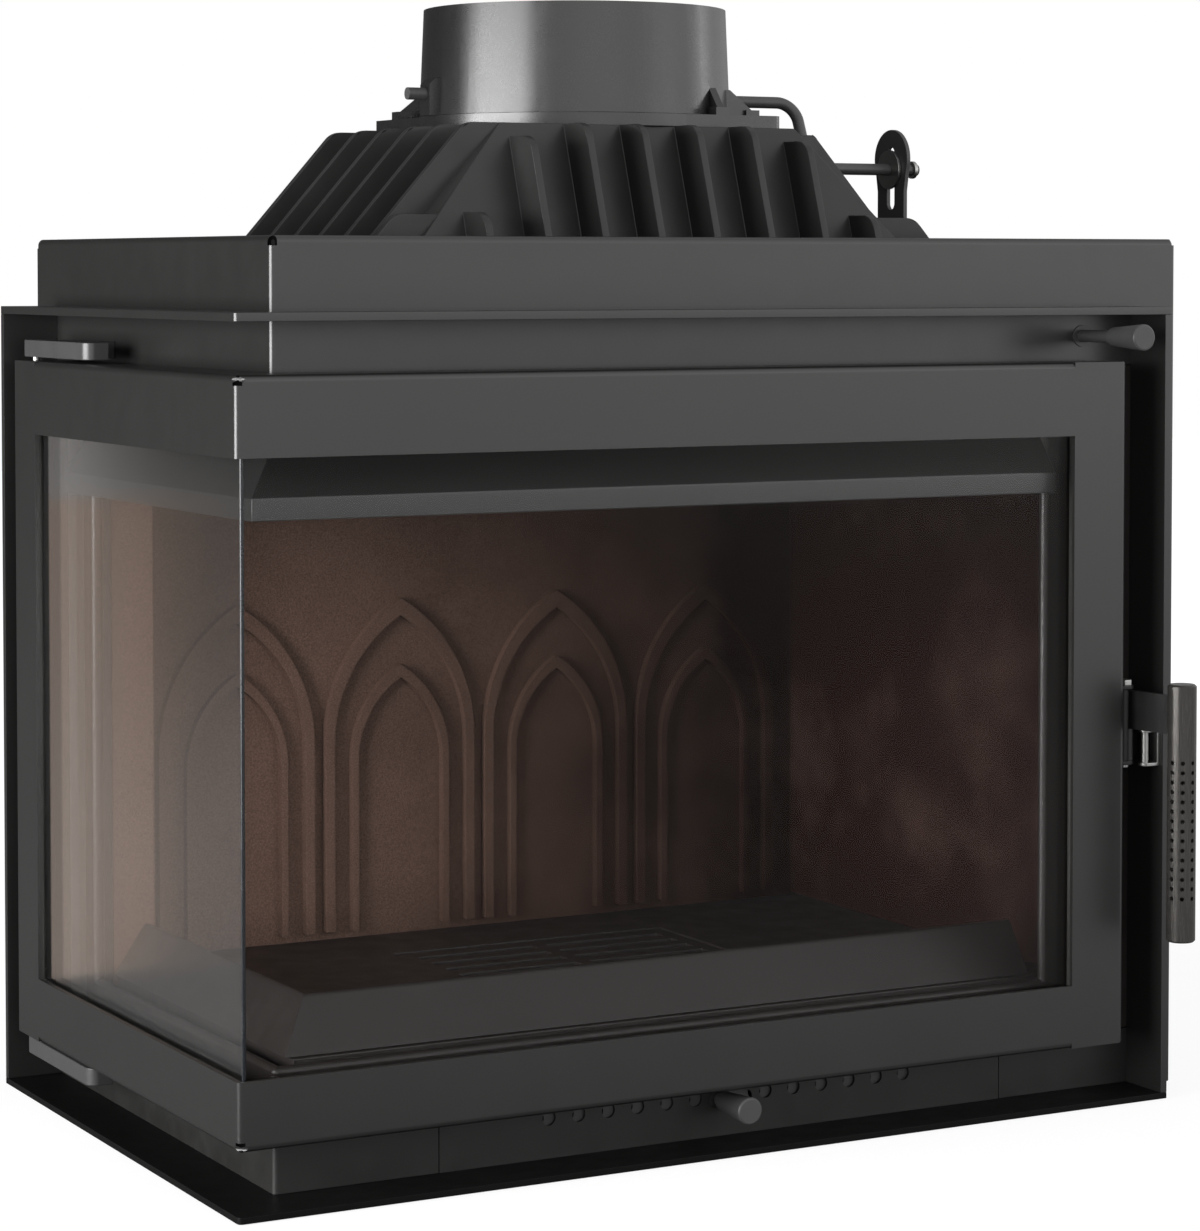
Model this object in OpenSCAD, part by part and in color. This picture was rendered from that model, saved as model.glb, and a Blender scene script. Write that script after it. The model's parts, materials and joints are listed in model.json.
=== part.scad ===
// Corner fireplace insert with a cast iron fire chamber, a ribbed smoke hood,
// a flue collar with a damper, and an L-shaped door glazed on two sides.
// The origin lies on the floor, straight below the axis of the flue collar.
// X runs to the right, Y runs to the back, Z runs up. All sizes are millimetres.

/* [Outer casing] */
// Width of the sheet casing
body_w = 646; // [630:1:700]
// Depth of the sheet casing
body_d = 400; // [395:1:460]
// Height of the casing above the top plate
casing_rise = 44; // [30:1:60]
// How far the joint in the casing lies below the door's upper edge
split_drop = 3; // [1:0.5:8]
// Height of the lower edge of the side and back panels
jacket_bottom = 0.5; // [0:0.5:20]
// Thickness of the casing sheet
sheet = 2; // [1.5:0.25:3]
// Outer radius of the casing's folds
fold_r = 3; // [2:0.25:5]
// Width of the flange turned inward round the casing's top
casing_lip = 20; // [12:1:30]

/* [Frame] */
// How far the frame plates stand out from the casing
overhang = 37.5; // [36:0.5:45]
// Thickness of the bottom plate
bottom_t = 4; // [3:0.5:8]
// Gap between the door and the top plate
door_top_gap = 30; // [24:0.5:36]
// Thickness of the top plate
top_plate_t = 5; // [3:0.5:8]
// Thickness of the two uprights
upright_t = 4.8; // [3:0.2:8]
// Distance from the casing's right side to the frame's right end
frame_right_inset = 31.5; // [20:0.5:40]
// Distance from the casing's back to the frame's rear end
frame_rear_inset = 36.5; // [20:0.5:45]

/* [Door] */
// Gap between the door and the right upright
door_right_gap = 30.2; // [28:0.2:34]
// Gap between the door and the rear left upright
door_rear_gap = 19.2; // [18:0.2:30]
// Height of the door's lower edge above the floor
door_bottom = 40.5; // [38:0.5:48]
// Height of the door frame
door_h = 440.5; // [430:0.5:445]
// Depth of the door frame
door_depth = 32; // [28:0.5:34]
// Thickness of the door's sheet
door_t = 3; // [2:0.25:4]
// Radius of the door's folded edges
door_r = 4; // [3.5:0.25:6]
// Width of the door frame's lower rail
rail_low = 40.5; // [34:0.5:50]
// Width of the door frame's upper rail
rail_up = 47; // [38:0.5:50]
// Width of the door frame's right stile
stile_right = 41; // [34:0.5:50]
// Width of the door frame's rear stile
stile_rear = 41.5; // [34:0.5:50]
// Distance from the door's face to the glass
glass_setback = 4.5; // [4:0.25:6]
// Thickness of the glass
glass_t = 4; // [3:0.5:5]
// How far the glass reaches behind the door frame
glass_lap = 11; // [8:0.5:14]

/* [Hinges] */
// Radius of the hinge pins
hinge_r = 3; // [2.5:0.25:4]
// Distance from the door's side face to the hinge axis
hinge_in = 12; // [10:0.5:14]
// Distance from the door's rear end to the hinge axis
hinge_rear = 12.5; // [11:0.5:15]
// Height of a hinge arm
arm_h = 11; // [8:0.5:14]
// Gap between a hinge arm and the door
arm_gap = 2.5; // [2:0.25:4]
// Length of a hinge arm along the casing
arm_l = 111; // [90:1:120]
// Length of the block between a hinge arm and the casing
arm_foot = 60; // [40:1:64]

/* [Handle] */
// Outer radius of the handle tube
tube_r = 9.25; // [8:0.25:12]
// Length of the handle tube
tube_l = 165; // [150:1:180]
// Height of the handle tube's lower end above the door's lower edge
tube_rise = 70.5; // [60:0.5:90]
// How far the handle tube's axis stands in front of the door
tube_out = 37.5; // [34:0.5:45]
// Radius of the small holes in the handle tube
perforation_r = 1.4; // [1:0.1:1.8]
// Number of rows of small holes in the handle tube
perforation_rows = 15; // [6:1:16]
// Number of small holes round the handle tube
perforation_columns = 8; // [4:2:10]
// Radius of the handle's pivot pin
pivot_r = 3; // [2:0.25:4]

/* [Fire chamber] */
// Distance from the edges of the door's window to the edges of the chamber's mouth
mouth_gap = 3; // [2:0.25:5]
// Thickness of the castings
cast_t = 8; // [6:0.5:9]
// Gap between the casing's right side and the chamber
chamber_right_gap = 39; // [34:0.5:60]
// Gap between the casing's back and the chamber
chamber_rear_gap = 26; // [20:0.5:60]
// Depth of the chamber floor's underside below the mouth
floor_drop = 18; // [16:0.5:24]
// How far the chamber's top lies below the joint in the casing
chamber_drop = 31; // [28:1:36]
// Thickness of the hearth plate
hearth_t = 12; // [8:0.5:14]
// Thickness of the rear lining
rear_lining_t = 26; // [20:0.5:34]
// Thickness of the right lining
right_lining_t = 37; // [25:0.5:45]
// How far the linings' upper edge lies below the mouth's
lining_drop = 45; // [41:1:56]
// Thickness of the baffle
baffle_t = 20; // [15:1:25]
// Height of the log fence
fence_h = 32; // [24:1:45]
// How far the log fence leans in
fence_lean = 20; // [10:1:24]
// Height of the air guide
guide_h = 40; // [30:0.5:44]
// Distance from the casing's front to the air guide's lip, outward
guide_out = 21; // [16:0.5:22]

/* [Hood] */
// Height of the hood above the casing's top edge
hood_rise = 72; // [60:1:90]
// Width of the hood at its top
hood_top_w = 216; // [212:1:226]
// Depth of the hood at its top
hood_top_d = 206; // [204:1:220]
// How far each side of the hood spreads for each millimetre down
spread_x = 0.89; // [0.82:0.01:0.92]
// How far the hood's front and back spread for each millimetre down
spread_y = 0.338; // [0.3:0.01:0.4]
// Wall thickness of the hood
hood_wall = 6; // [5:0.5:8]
// Height of the front and back cooling fins, square to the wall
fin_h = 26.5; // [18:0.5:28]
// Height of the left side's cooling fins
side_fin_h = 17.5; // [12:0.5:22]
// Height of the right side's cooling fins, beside the damper's link
low_fin_h = 9; // [5:0.5:10]
// Height of the hood's sloping part
hood_slope_h = 114; // [106:1:116]
// Thickness of a cooling fin
fin_t = 5; // [3:0.5:7]
// Pitch of the cooling fins
fin_pitch = 40; // [34:0.5:42]
// Radius of a fin's upper corner
fin_corner_r = 14; // [8:0.5:18]

/* [Flue collar] */
// How far the flue axis stands left of the casing's middle
flue_left = 16.5; // [10:0.5:24]
// How far the flue axis stands behind the casing's middle
flue_back = 5.5; // [0:0.5:10]
// Outer radius of the collar's rim
collar_r = 100; // [90:0.5:102]
// How far the collar's base stands out beyond its rim
collar_flare = 3; // [2:0.5:5]
// Height of the collar above its flange
collar_h = 71; // [60:1:90]
// Wall of the collar round the socket for the flue pipe
collar_wall = 5; // [4:0.5:10]
// Depth of the socket for the flue pipe
socket_h = 40; // [30:1:45]
// Step from the socket down to the bore below it
socket_step = 2; // [1:0.25:4]
// Thickness of the collar's flange
flange_t = 8; // [6:0.5:12]
// Half the width of the collar's flange
flange_half = 101; // [100.5:0.5:110]

/* [Damper and controls] */
// Height of the damper shaft above the flange
shaft_z = 14; // [13:0.5:18]
// Radius of the damper shaft
shaft_r = 4; // [3:0.25:5]
// Radius of the crank on the damper shaft
crank_r = 49; // [40:1:52]
// Angle of the crank at rest, from straight down towards the front
crank_angle = 23; // [15:1:28]
// Distance from the flue axis to the crank's leg
crank_x = 170.5; // [168:0.5:173]
// Distance from the flue axis to the link plate
link_out = 238.5; // [236:0.5:241]
// Thickness of the link plate
link_t = 3; // [2:0.5:4]
// Distance from the top plate down to the damper control's rod
rod_drop = 14; // [12:0.5:16]
// Distance from the flue axis to the damper control's rod, along the casing
rod_out = 264; // [262:0.5:268]
// Travel of the damper control
rod_travel = 33; // [20:1:33]
// Length of a control knob
knob_l = 33; // [25:1:40]
// Radius of a control knob's front
knob_r = 8.5; // [7:0.25:10]
// Radius of a control knob's back
knob_back_r = 6; // [5:0.25:7]
// Radius of the air holes
air_hole_r = 4.5; // [3:0.25:5]
// Pitch of the air holes
air_pitch = 20.4; // [18:0.1:22]
// Height of the air holes' row
air_z = 28.5; // [26:0.5:29]
// Number of air holes on each side of the air control
air_holes = 6; // [3:1:7]
// How far the air control stands left of its middle
air_offset = 7; // [4:0.5:9]

/* [Ash pan and grate] */
// Width of the ash pan's opening in the floor
ash_w = 190; // [150:1:220]
// Depth of the ash pan's opening in the floor
ash_d = 150; // [120:1:180]
// Distance from the casing's front to the middle of the ash pan
ash_y = 190; // [170:1:205]
// Number of slots in the grate
grate_slots = 7; // [4:1:9]

/* [Hidden] */
$fn = 48;

// Space between a moving piece and its neighbour
play = 0.3;
// Radial clearance of a running fit
fit = 0.06;
// Radial clearance of a fixed seat, round a pin that doesn't turn in its hole
seat = 0.02;
// A little more than a cut needs
over = 1;
// A size larger than the whole object, for cutting prisms
big = 1000;

frame_right = body_w - frame_right_inset;
frame_rear = body_d - frame_rear_inset;
door_right = frame_right - upright_t - door_right_gap;
door_rear = frame_rear - upright_t - door_rear_gap;
door_front = door_right + overhang;
door_side = door_rear + overhang;
door_top = door_bottom + door_h;
top_plate_z = door_top + door_top_gap;
top_plate_top = top_plate_z + top_plate_t;
casing_top = top_plate_top + casing_rise;
casing_split = door_top - split_drop;
window_low = door_bottom + rail_low;
window_high = door_top - rail_up;
window_right = door_right - stile_right;
window_rear = door_rear - stile_rear;
glass_face = glass_setback - overhang;
hinge_x = hinge_in - overhang;
hinge_y = door_rear - hinge_rear;
mouth_bottom = window_low - mouth_gap;
mouth_top = window_high + mouth_gap;
jamb_right = window_right + mouth_gap;
jamb_rear = window_rear - mouth_gap;
floor_z = mouth_bottom - floor_drop;
lining_top = mouth_top - lining_drop;
guide_bottom = mouth_top - guide_h;
chamber_right_x = body_w - chamber_right_gap;
chamber_back_y = body_d - chamber_rear_gap;
chamber_top_z = casing_split - chamber_drop;
hearth_z = floor_z + cast_t;
hearth_top = hearth_z + hearth_t;
rear_face = chamber_back_y - cast_t - rear_lining_t;
right_face = chamber_right_x - cast_t - right_lining_t;
hood_base = chamber_top_z + cast_t;
hood_top = casing_top + hood_rise;
hood_foot = hood_top - hood_slope_h;
flue_x = body_w / 2 - flue_left;
flue_y = body_d / 2 + flue_back;
flange_top = hood_top + flange_t;
collar_top = flange_top + collar_h;
socket_z = collar_top - socket_h;
collar_base_r = collar_r + collar_flare;
socket_r = collar_r - collar_wall;
bore_r = socket_r - socket_step;
shaft_height = flange_top + shaft_z;
rod_x = flue_x + rod_out;
rod_z = top_plate_z - rod_drop;
tube_bottom = door_bottom + tube_rise;
fin_bottom = hood_foot;
alpha_x = atan(spread_x);
alpha_y = atan(spread_y);

// Moves a piece drawn from the casing's front left corner into the object's own frame
module placed() {
    translate([-flue_x, -flue_y, 0]) children();
}

// Box between two corners
module block(low, high) {
    translate(low) cube(high - low);
}

// Upright prism over a rectangle with one radius on all four corners
module soft_block(low, high, r) {
    h = high[2] - low[2];
    for (x = [low[0] + r, high[0] - r], y = [low[1] + r, high[1] - r])
        translate([x, y, low[2]]) cylinder(r = r, h = h);
    block([low[0] + r, low[1], low[2]], [high[0] - r, high[1], high[2]]);
    block([low[0], low[1] + r, low[2]], [high[0], high[1] - r, high[2]]);
}

// Prism that covers everything outside a fold of radius r at the corner (c, c)
module fold_cut(c, r, z0, z1) {
    difference() {
        block([c - over, c - over, z0], [c + r, c + r, z1]);
        translate([c + r, c + r, z0 - over]) cylinder(r = r, h = z1 - z0 + 2 * over);
    }
}

// Half space in front of the diagonal through the corner (c, c), where the front leg lies
module front_half(c) {
    translate([0, 0, -over]) linear_extrude(big) polygon([[c, c], [c + big, c + big], [c + big, c - big],
        [c, c - big], [c - big, c - big]]);
}

// Half space behind the same diagonal, where the side leg lies
module side_half(c) {
    translate([0, 0, -over]) linear_extrude(big) polygon([[c, c], [c + big, c + big], [c - big, c + big],
        [c - big, c - big]]);
}

// A section of (depth, height) points run along the front to x = front and along the side to y = side,
// mitred at the corner. Depth counts inward from the casing's faces.
module l_run(front, side) {
    intersection() {
        translate([-big / 2, 0, 0]) rotate([90, 0, 90]) linear_extrude(big / 2 + front) children();
        front_half(0);
    }
    intersection() {
        mirror([1, -1, 0]) translate([-big / 2, 0, 0]) rotate([90, 0, 90]) linear_extrude(big / 2 + side)
            children();
        side_half(0);
    }
}

// Folded sheet section: a face with one edge turned inward, depth along x and height along y
module folded_edge(height, depth, t, r) {
    square([t, height - r]);
    translate([r, height - t]) square([depth - r, t]);
    translate([r, height - r]) intersection() {
        difference() {
            circle(r);
            circle(r - t);
        }
        translate([-r, 0]) square([r, r]);
    }
}

module bottom_plate() {
    color([0.27, 0.27, 0.26]) placed() difference() {
        block([-overhang, -overhang, 0], [frame_right, frame_rear, bottom_t]);
        fold_cut(-overhang, fold_r, -over, bottom_t + over);
    }
}

module top_plate() {
    color([0.29, 0.29, 0.28]) placed() difference() {
        block([-overhang, -overhang, top_plate_z], [frame_right, frame_rear, top_plate_top]);
        difference() {
            block([0, 0, top_plate_z - over], [big, big, top_plate_top + over]);
            fold_cut(0, fold_r, top_plate_z - 2 * over, top_plate_top + 2 * over);
        }
        fold_cut(-overhang, fold_r, top_plate_z - over, top_plate_top + over);
    }
}

module right_upright() {
    color([0.29, 0.29, 0.28]) placed()
        block([frame_right - upright_t, -overhang, bottom_t], [frame_right, 0, top_plate_z]);
}

module rear_left_upright() {
    color([0.27, 0.27, 0.26]) placed()
        block([-overhang, frame_rear - upright_t, bottom_t], [0, frame_rear, top_plate_z]);
}

// Ring of sheet round the hood, with its top edge folded inward all round
module upper_casing() {
    top_bend = fold_r + 1;
    h = casing_top - casing_split;
    color([0.29, 0.29, 0.28]) placed() difference() {
        union() {
            difference() {
                soft_block([0, 0, casing_split], [body_w, body_d, casing_top - top_bend], fold_r);
                soft_block([sheet, sheet, casing_split - over], [body_w - sheet, body_d - sheet, casing_top],
                    fold_r - sheet);
            }
            translate([0, 0, casing_split]) casing_side(h, top_bend, body_w);
            translate([body_w, body_d, casing_split]) rotate([0, 0, 180]) casing_side(h, top_bend, body_w);
            translate([0, body_d, casing_split]) rotate([0, 0, -90]) casing_side(h, top_bend, body_d);
            translate([body_w, 0, casing_split]) rotate([0, 0, 90]) casing_side(h, top_bend, body_d);
        }
        translate([rod_x, -over, rod_z]) rotate([-90, 0, 0]) cylinder(r = 7, h = sheet + 2 * over);
        for (x = [0, body_w], y = [0, body_d]) translate([x, y, casing_top - top_bend])
            cylinder(r = top_bend, h = big);
    }
}

// One side's folded top edge, cut at 45 degrees at both ends
module casing_side(h, top_bend, length) {
    intersection() {
        rotate([90, 0, 90]) linear_extrude(length) intersection() {
            folded_edge(h, casing_lip, sheet, top_bend);
            translate([0, h - top_bend]) square([casing_lip, top_bend]);
        }
        linear_extrude(h) polygon([[0, 0], [length, 0], [length / 2, length / 2]]);
    }
}

module right_panel() {
    color([0.27, 0.27, 0.27]) placed() difference() {
        union() {
            block([body_w - sheet, fold_r, jacket_bottom], [body_w, body_d - sheet, casing_split]);
            block([frame_right, 0, jacket_bottom], [body_w - fold_r, sheet, casing_split]);
            translate([body_w - fold_r, fold_r, jacket_bottom]) intersection() {
                difference() {
                    cylinder(r = fold_r, h = casing_split - jacket_bottom);
                    translate([0, 0, -over]) cylinder(r = fold_r - sheet, h = big);
                }
                block([0, -fold_r, 0], [fold_r, 0, big]);
            }
        }
        for (i = [0 : 7]) translate([body_w - sheet - over, 90 + i * 32, jacket_bottom + 30])
            block([0, 0, 0], [sheet + 2 * over, 16, 6]);
    }
}

module back_panel() {
    color([0.27, 0.27, 0.27]) placed() difference() {
        union() {
            block([fold_r, body_d - sheet, jacket_bottom], [body_w, body_d, casing_split]);
            block([0, frame_rear, jacket_bottom], [sheet, body_d - fold_r, casing_split]);
            translate([fold_r, body_d - fold_r, jacket_bottom]) intersection() {
                difference() {
                    cylinder(r = fold_r, h = casing_split - jacket_bottom);
                    translate([0, 0, -over]) cylinder(r = fold_r - sheet, h = big);
                }
                block([-fold_r, 0, 0], [0, fold_r, big]);
            }
        }
        for (i = [0 : 11]) translate([120 + i * 36, body_d - sheet - over, jacket_bottom + 30])
            block([0, 0, 0], [18, sheet + 2 * over, 6]);
    }
}

// Middle of the front panel, where the air holes and the air control are centred
air_mid = (frame_right - 0.5) / 2;
panel_top = door_bottom - 0.8;
panel_low = bottom_t;
slider_half = 160;
panel_half = slider_half + 40.5;
panel_left = air_mid - panel_half;
panel_right = air_mid + panel_half;
panel_gap = 0.5;

module base_corner_panel() {
    color([0.26, 0.26, 0.25]) placed() difference() {
        union() {
            block([0, 0, panel_low], [panel_left - panel_gap, sheet, panel_top]);
            block([0, 0, panel_low], [sheet, frame_rear - upright_t, panel_top]);
            block([0, 0, panel_low], [2 * fold_r, 2 * fold_r, panel_top]);
        }
        fold_cut(0, fold_r, panel_low - over, panel_top + over);
        difference() {
            block([sheet, sheet, panel_low - over], [2 * fold_r + over, 2 * fold_r + over, panel_top + over]);
            fold_cut(sheet, fold_r - sheet, panel_low - 2 * over, panel_top + 2 * over);
        }
    }
}

module base_front_panel() {
    color([0.27, 0.27, 0.26]) placed() difference() {
        block([panel_left, 0, panel_low], [panel_right, sheet, panel_top]);
        for (x = air_places()) translate([air_mid + x, -over, air_z]) rotate([-90, 0, 0])
            cylinder(r = air_hole_r, h = sheet + 2 * over);
        slot_x(air_mid - air_slot, air_mid + air_slot, -over, sheet + over, air_z - 2, 4.5);
    }
}

// Half the length of the air control's slot
air_slot = air_pitch / 2 + 5;

// Places of the air holes either side of the air control
function air_places() = [for (side = [-1, 1], i = [0 : air_holes - 1]) side * (1.23 + i) * air_pitch];

// Slot along X through a plate that lies across Y
module slot_x(x0, x1, y0, y1, z, r) {
    for (x = [x0 + r, x1 - r]) translate([x, y0, z]) rotate([-90, 0, 0]) cylinder(r = r, h = y1 - y0);
    block([x0 + r, y0, z - r], [x1 - r, y1, z + r]);
}

module base_right_panel() {
    color([0.26, 0.26, 0.25]) placed()
        block([panel_right + panel_gap, 0, panel_low], [frame_right, sheet, panel_top]);
}

air_box_front = sheet + 6;
air_box_t = 3;

// Low box under the fire chamber that takes in the air and carries the chamber
module air_box() {
    color([0.2, 0.2, 0.2]) placed() difference() {
        block([cast_t, air_box_front, bottom_t], [chamber_right_x, chamber_back_y, floor_z]);
        block([cast_t + air_box_t, air_box_front + air_box_t, bottom_t - over],
            [chamber_right_x - air_box_t, chamber_back_y - air_box_t, floor_z + over]);
        block([air_mid - slider_half - 10, air_box_front - over, air_z - 9],
            [air_mid + slider_half + 10, air_box_front + air_box_t + over, air_z + 9]);
    }
}

slider_low = air_z - 9;
slider_high = air_z + 8.5;
slider_y = sheet + play;

module slider_guides() {
    left = air_mid - slider_half - 25;
    right = air_mid + slider_half + 25;
    color([0.35, 0.35, 0.35]) placed() {
        block([left, sheet, slider_low - play - 5], [right, air_box_front, slider_low - play]);
        block([left, sheet, slider_high + play], [right, air_box_front, slider_high + play + 2]);
    }
}

// Plate with its own row of holes that covers or clears the holes in the panel
module air_slider() {
    color([0.42, 0.42, 0.42]) placed() translate([air_mid - air_offset, slider_y, 0]) {
        difference() {
            block([-slider_half, 0, slider_low], [slider_half, sheet, slider_high]);
            for (x = air_places()) translate([x, -over, air_z]) rotate([-90, 0, 0])
                cylinder(r = air_hole_r, h = sheet + 2 * over);
        }
        translate([0, -slider_y - 3, air_z - 2]) rotate([-90, 0, 0]) cylinder(r = 4, h = slider_y + 3 + 0.5);
    }
}

// Tapered knob whose back lies at y = 0 and whose front faces -Y
module knob() {
    rotate([90, 0, 0]) rotate_extrude() polygon([[0, 0], [knob_back_r, 0], [knob_r, knob_l - 1],
        [knob_r - 1, knob_l], [0, knob_l]]);
}

module air_knob() {
    color([0.3, 0.3, 0.29]) placed() translate([air_mid - air_offset, -3, air_z - 2]) knob();
}

// Cast frame round the mouth of the chamber, in two planes, with a rounded bead on its free edges
module front_frame() {
    rail_z = door_bottom - 0.5;
    bead_r = cast_t / 2;
    color([0.22, 0.22, 0.21]) placed() {
        difference() {
            union() {
                l_run(frame_right, frame_rear) {
                    translate([0, rail_z]) square([cast_t, mouth_bottom - rail_z - bead_r]);
                    translate([0, mouth_top]) square([cast_t, casing_split - mouth_top]);
                }
                block([jamb_right + bead_r, 0, rail_z], [frame_right, cast_t, casing_split]);
                block([0, jamb_rear + bead_r, rail_z], [cast_t, frame_rear, casing_split]);
            }
            fold_cut(0, fold_r, 0, big);
        }
        for (jamb = [[jamb_right, 0], [0, jamb_rear]])
            translate([jamb[0] + bead_r, jamb[1] + bead_r, mouth_bottom - bead_r])
                cylinder(r = bead_r, h = mouth_top - mouth_bottom + bead_r);
        translate([bead_r, bead_r, mouth_bottom - bead_r]) {
            rotate([0, 90, 0]) cylinder(r = bead_r, h = jamb_right);
            rotate([-90, 0, 0]) cylinder(r = bead_r, h = jamb_rear);
            sphere(bead_r);
        }
    }
}

module chamber_floor() {
    color([0.16, 0.16, 0.16]) placed() difference() {
        block([cast_t, cast_t, floor_z], [chamber_right_x, chamber_back_y, hearth_z]);
        ash_opening(0, floor_z - over, hearth_z + over);
    }
}

// Rectangular opening above the ash pan, wider by the given margin
module ash_opening(margin, z0, z1) {
    block([flue_x - ash_w / 2 - margin, ash_y - ash_d / 2 - margin, z0],
        [flue_x + ash_w / 2 + margin, ash_y + ash_d / 2 + margin, z1]);
}

module chamber_back() {
    color([0.16, 0.16, 0.16]) placed()
        block([cast_t, chamber_back_y - cast_t, hearth_z], [chamber_right_x, chamber_back_y, chamber_top_z]);
}

module chamber_right() {
    color([0.16, 0.16, 0.16]) placed()
        block([chamber_right_x - cast_t, cast_t, hearth_z],
            [chamber_right_x, chamber_back_y - cast_t, chamber_top_z]);
}

module chamber_left() {
    color([0.16, 0.16, 0.16]) placed()
        block([cast_t, jamb_rear + cast_t, hearth_z], [2 * cast_t, chamber_back_y - cast_t, chamber_top_z]);
}

module chamber_top() {
    inner_x = hood_half_x(hood_foot) - hood_wall - 4;
    inner_y = hood_half_y(hood_foot) - hood_wall - 4;
    color([0.18, 0.18, 0.18]) placed() difference() {
        block([cast_t, cast_t, chamber_top_z], [chamber_right_x, chamber_back_y, hood_base]);
        block([flue_x - inner_x, flue_y - inner_y, chamber_top_z - over],
            [flue_x + inner_x, flue_y + inner_y, hood_base + over]);
    }
}

module hearth_plate() {
    color([0.2, 0.2, 0.19]) placed() difference() {
        block([2 * cast_t, cast_t, hearth_z], [chamber_right_x - cast_t, rear_face, hearth_top]);
        ash_opening(8, hearth_z - over, hearth_top + over);
        block([0, jamb_rear, hearth_z - over], [left_post, big, hearth_top + over]);
    }
}

// Right edge of the lining block in the rear left corner
left_post = 45;

module grate() {
    z0 = hearth_z + 3 + play;
    low = [flue_x - ash_w / 2 - 7, ash_y - ash_d / 2 - 7, z0];
    high = [flue_x + ash_w / 2 + 7, ash_y + ash_d / 2 + 7, hearth_top - 1];
    slot_w = 9;
    pitch = (high[1] - low[1] - 16) / grate_slots;
    color([0.15, 0.15, 0.15]) placed() difference() {
        block(low, high);
        for (i = [0 : grate_slots - 1], side = [0, 1]) {
            x0 = side == 0 ? low[0] + 10 : flue_x + 5;
            x1 = x0 + (high[0] - low[0]) / 2 - 15;
            y0 = low[1] + 8 + (i + 0.5) * pitch - slot_w / 2;
            block([x0, y0, z0 - over], [x1, y0 + slot_w, hearth_top + over]);
        }
    }
}

module ash_pan() {
    wall = 1.5;
    margin = 4;
    low = [flue_x - ash_w / 2 + margin, ash_y - ash_d / 2 + margin, bottom_t + 8];
    high = [flue_x + ash_w / 2 - margin, ash_y + ash_d / 2 - margin, hearth_z + 3];
    color([0.4, 0.4, 0.41]) placed() difference() {
        union() {
            block(low, high);
            block([low[0] - margin - 5, low[1] - margin - 5, hearth_z + play],
                [high[0] + margin + 5, high[1] + margin + 5, hearth_z + 3]);
        }
        block(low + [wall, wall, wall], [high[0] - wall, high[1] - wall, big]);
    }
}

// Pointed arch of the given half width, standing at the origin, in the XZ plane
module lancet(half, spring) {
    intersection() {
        translate([half, spring]) circle(2 * half);
        translate([-half, spring]) circle(2 * half);
        translate([-half, spring]) square([2 * half, 2 * half]);
    }
    translate([-half, 0]) square([2 * half, spring]);
}

// Raised outline of a pointed arch
module lancet_rib(half, spring, width) {
    difference() {
        lancet(half, spring);
        translate([0, -over]) lancet(half - width, spring + over);
    }
}

lancet_count = 4;
lancet_margin = 14.5;
lancet_half = (right_face - left_post) / (2 * lancet_count) - lancet_margin / lancet_count;

// Cast rear lining with a plain row of pointed arches
module rear_lining() {
    back = chamber_back_y - cast_t;
    first = left_post + lancet_margin + lancet_half;
    color([0.19, 0.18, 0.17]) placed() {
        block([left_post, rear_face + 8, hearth_z], [right_face, back, lining_top]);
        translate([0, rear_face + 8, hearth_top + 4]) rotate([90, 0, 0]) linear_extrude(6)
            for (i = [0 : lancet_count - 1]) translate([first + 2 * lancet_half * i, 0]) {
                lancet_rib(lancet_half - 4, 130, 7);
                lancet_rib(lancet_half - 24, 118, 5);
            }
        block([left_post, rear_face, lining_top - 22], [right_face, rear_face + 8, lining_top]);
    }
}

module right_lining() {
    color([0.19, 0.18, 0.17]) placed()
        block([right_face, cast_t, hearth_top],
            [chamber_right_x - cast_t, chamber_back_y - cast_t, lining_top]);
}

module left_lining() {
    color([0.19, 0.18, 0.17]) placed()
        block([2 * cast_t, jamb_rear + cast_t, hearth_z], [left_post, chamber_back_y - cast_t, lining_top]);
}

module baffle() {
    color([0.62, 0.58, 0.5]) placed()
        block([2 * cast_t + 2, 72, lining_top], [chamber_right_x - cast_t - 2, chamber_back_y - cast_t - 2,
            lining_top + baffle_t]);
}

// Bent sheet that leads the washing air down behind the glass
module air_guide() {
    t = 2;
    lip = 13;
    color([0.24, 0.24, 0.23]) placed() l_run(jamb_right - 6, jamb_rear - 5)
        polygon([[-guide_out, guide_bottom], [-guide_out + t, guide_bottom],
            [-guide_out + t, guide_bottom + lip - 1], [1, mouth_top - 3], [cast_t, mouth_top - 3],
            [cast_t, mouth_top], [0, mouth_top], [-guide_out, guide_bottom + lip]]);
}

// Sloped cast fence that stands on the hearth along both panes
module log_fence() {
    d0 = cast_t + 4;
    t = 6;
    z0 = hearth_top + play;
    color([0.2, 0.2, 0.2]) placed() l_run(jamb_right - 2, jamb_rear - 3)
        polygon([[d0, z0], [d0 + 16, z0], [d0 + 16, z0 + 5], [d0 + t + 4, z0 + 8],
            [d0 + fence_lean + t, z0 + fence_h - 2], [d0 + fence_lean + t - 2, z0 + fence_h],
            [d0 + fence_lean + 2, z0 + fence_h], [d0 + fence_lean, z0 + fence_h - 2]]);
}

function hood_half_x(z) = hood_top_w / 2 + spread_x * (hood_top - z);
function hood_half_y(z) = hood_top_d / 2 + spread_y * (hood_top - z);

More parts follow.
